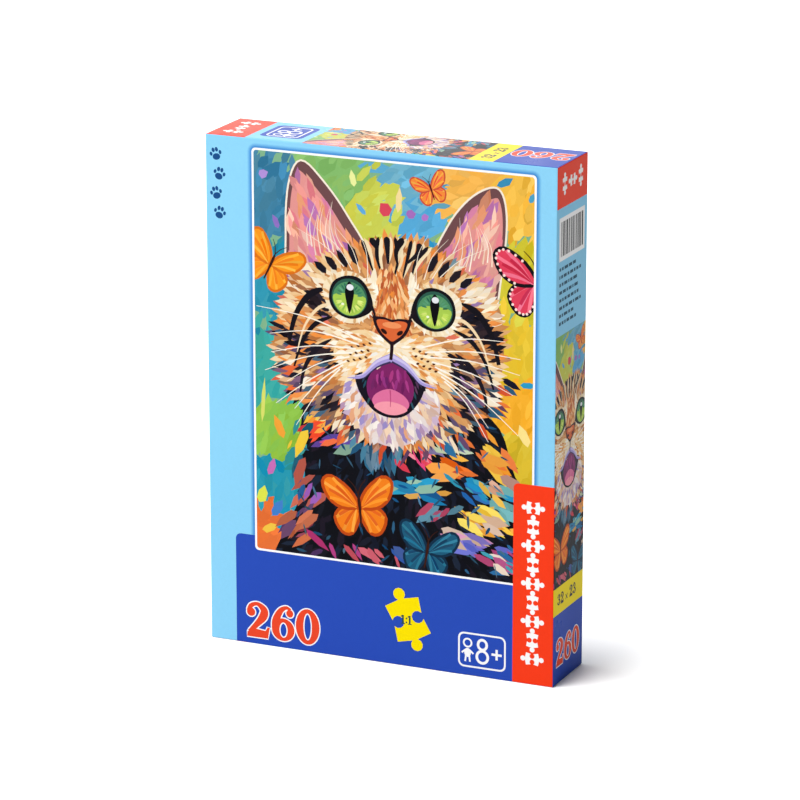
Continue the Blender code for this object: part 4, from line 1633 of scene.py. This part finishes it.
def punch_vents(points):
    """Draws the film back round the vents in the bag's front. Gives the points inside them."""
    hollow = set()
    for number, p in enumerate(points):
        for vent_x in (-VENT_X, VENT_X):
            away = Vector((p.x - vent_x, 0, p.z - VENT_HEIGHT))
            if p.y <= BAG_MIDDLE_Y and away.length < VENT:
                hollow.add(number)
                edge = away.normalized() * VENT
                p.x, p.z = vent_x + edge.x, VENT_HEIGHT + edge.z
    return hollow


def build_bag(film):
    """The clear bag: a crumpled pouch with a flat ribbed seal and two punched vents."""
    points, faces = [], []
    sections = bag_sections()
    for z, half_width, half_depth in sections:
        radius = min(BAG_CORNER, half_depth * 0.9)
        for x, y, out_x, out_y in bag_ring(half_width, half_depth, radius):
            drawn = crumple(x, y, z, half_depth)
            points.append(Vector((x - out_x * drawn, BAG_MIDDLE_Y + y - out_y * drawn, z)))
    count = len(points) // len(sections)
    hollow = punch_vents(points)
    for low in range(0, len(points) - count, count):
        for i in range(count):
            j = (i + 1) % count
            face = [low + i, low + j, low + count + j, low + count + i]
            if not hollow.issuperset(face):
                faces.append(face)
    faces.append(list(reversed(range(count))))
    faces.append(list(range(len(points) - count, len(points))))
    mesh = bpy.data.meshes.new("poly_bag_film")
    mesh.from_pydata([p * MM for p in points], [], faces)
    mesh.validate()
    mesh.shade_smooth()
    bag = add_piece("poly_bag_film", mesh, film, "bag", "clear_film")
    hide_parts("poly_bag")




# --------------------------------------------------------- floor, light, camera


FLOOR_HALF = 12.0
MIDDLE = Vector((0, 0, 0.1225))  # of the box
AIM = Vector((0.002, 0.0009, 0.1227))


def direction(azimuth, elevation):
    """The way from the object to a viewer, in degrees: azimuth 0 is the front and 90 the right side."""
    a, e = math.radians(azimuth), math.radians(elevation)
    return Vector((math.sin(a) * math.cos(e), -math.cos(a) * math.cos(e), math.sin(e)))


def stand(name, data, target, azimuth, elevation, distance):
    """Puts a light or a camera at a distance from a target and points it there."""
    thing = bpy.data.objects.new(name, data)
    bpy.context.collection.objects.link(thing)
    offset = direction(azimuth, elevation) * distance
    thing.location = target + offset
    thing.rotation_euler = offset.to_track_quat("Z", "Y").to_euler()
    return thing


def add_floor():
    """A large pale floor."""
    mesh = bpy.data.meshes.new("floor")
    corners = box(-FLOOR_HALF, -FLOOR_HALF, FLOOR_HALF, FLOOR_HALF)
    mesh.from_pydata([(x, y, 0) for x, y in corners], [], [(0, 1, 2, 3)])
    material, _, shader = new_material("pale_floor")
    shader.inputs["Base Color"].default_value = (0.93, 0.93, 0.93, 1)
    shader.inputs["Roughness"].default_value = 0.9
    mesh.materials.append(material)
    floor = bpy.data.objects.new("floor", mesh)
    bpy.context.collection.objects.link(floor)


def add_light(name, azimuth, elevation, distance, size, power):
    """A square soft light that shines at the middle of the box."""
    data = bpy.data.lights.new(name, "AREA")
    data.shape = "SQUARE"
    data.size = size
    data.energy = power
    stand(name, data, MIDDLE, azimuth, elevation, distance)


def add_sun(strength, azimuth, elevation, angle):
    """A soft overhead light that is the same over the whole floor."""
    data = bpy.data.lights.new("overhead", "SUN")
    data.energy = strength
    data.angle = math.radians(angle)
    stand("overhead", data, MIDDLE, azimuth, elevation, 1.0)


def add_camera(azimuth, elevation, distance, lens):
    """A level camera with a long lens."""
    data = bpy.data.cameras.new("camera")
    data.lens = lens
    data.sensor_width = 36.0
    data.clip_start = 0.05
    data.clip_end = 100.0
    bpy.context.scene.camera = stand("camera", data, AIM, azimuth, elevation, distance)


def light_world():
    """A pale surround: white where the camera sees it, and dimmer as a light."""
    world = bpy.data.worlds.new("studio")
    bpy.context.scene.world = world
    world.use_nodes = True
    tree = world.node_tree
    back = tree.nodes["Background"]
    back.inputs["Color"].default_value = (1, 1, 1, 1)
    seen = add_node(tree, "ShaderNodeLightPath").outputs["Is Camera Ray"]
    tree.links.new(span(tree, seen, 0.25, 1.0, 0.0, 1.0), back.inputs["Strength"])


def build_object():
    """Builds every piece of the object."""
    picture = paint_picture()
    build_lid(picture, printed_material("varnished_print", 0.3, 0.05, 0.03))
    build_base(picture, printed_material("plain_paper", 0.5, 0.06, 0.05))
    dark, pale = (0.26, 0.25, 0.24), (0.42, 0.41, 0.39)
    bare = board_material("grey_piece_board", (1200.0, 5.0), dark, pale, (0.75, 0.92), 0.3)
    build_pieces(picture, printed_material("piece_print", 0.35, 0.05, 0.06), bare)
    build_bag(film_material())
    dark, pale = (0.20, 0.17, 0.14), (0.40, 0.36, 0.31)
    raw = board_material("raw_greyboard", (1500.0, 6.0, (1, 1, 2.5)), dark, pale, (0.8, 0.95), 0.25)
    for name in ("lid_board", "base_board"):
        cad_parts[name].data.materials[0] = raw


def build_stage():
    """The floor, the lights and the camera."""
    add_floor()
    add_light("key", -38, 34, 1.6, 1.6, 31)
    add_sun(3.1, -60, 79, 20)
    add_light("behind", 200, 22, 2.0, 1.6, 20)
    light_world()
    add_camera(24, 16, 2.0, 194.1)
    bpy.context.scene.view_settings.view_transform = "Standard"


build_object()
build_stage()
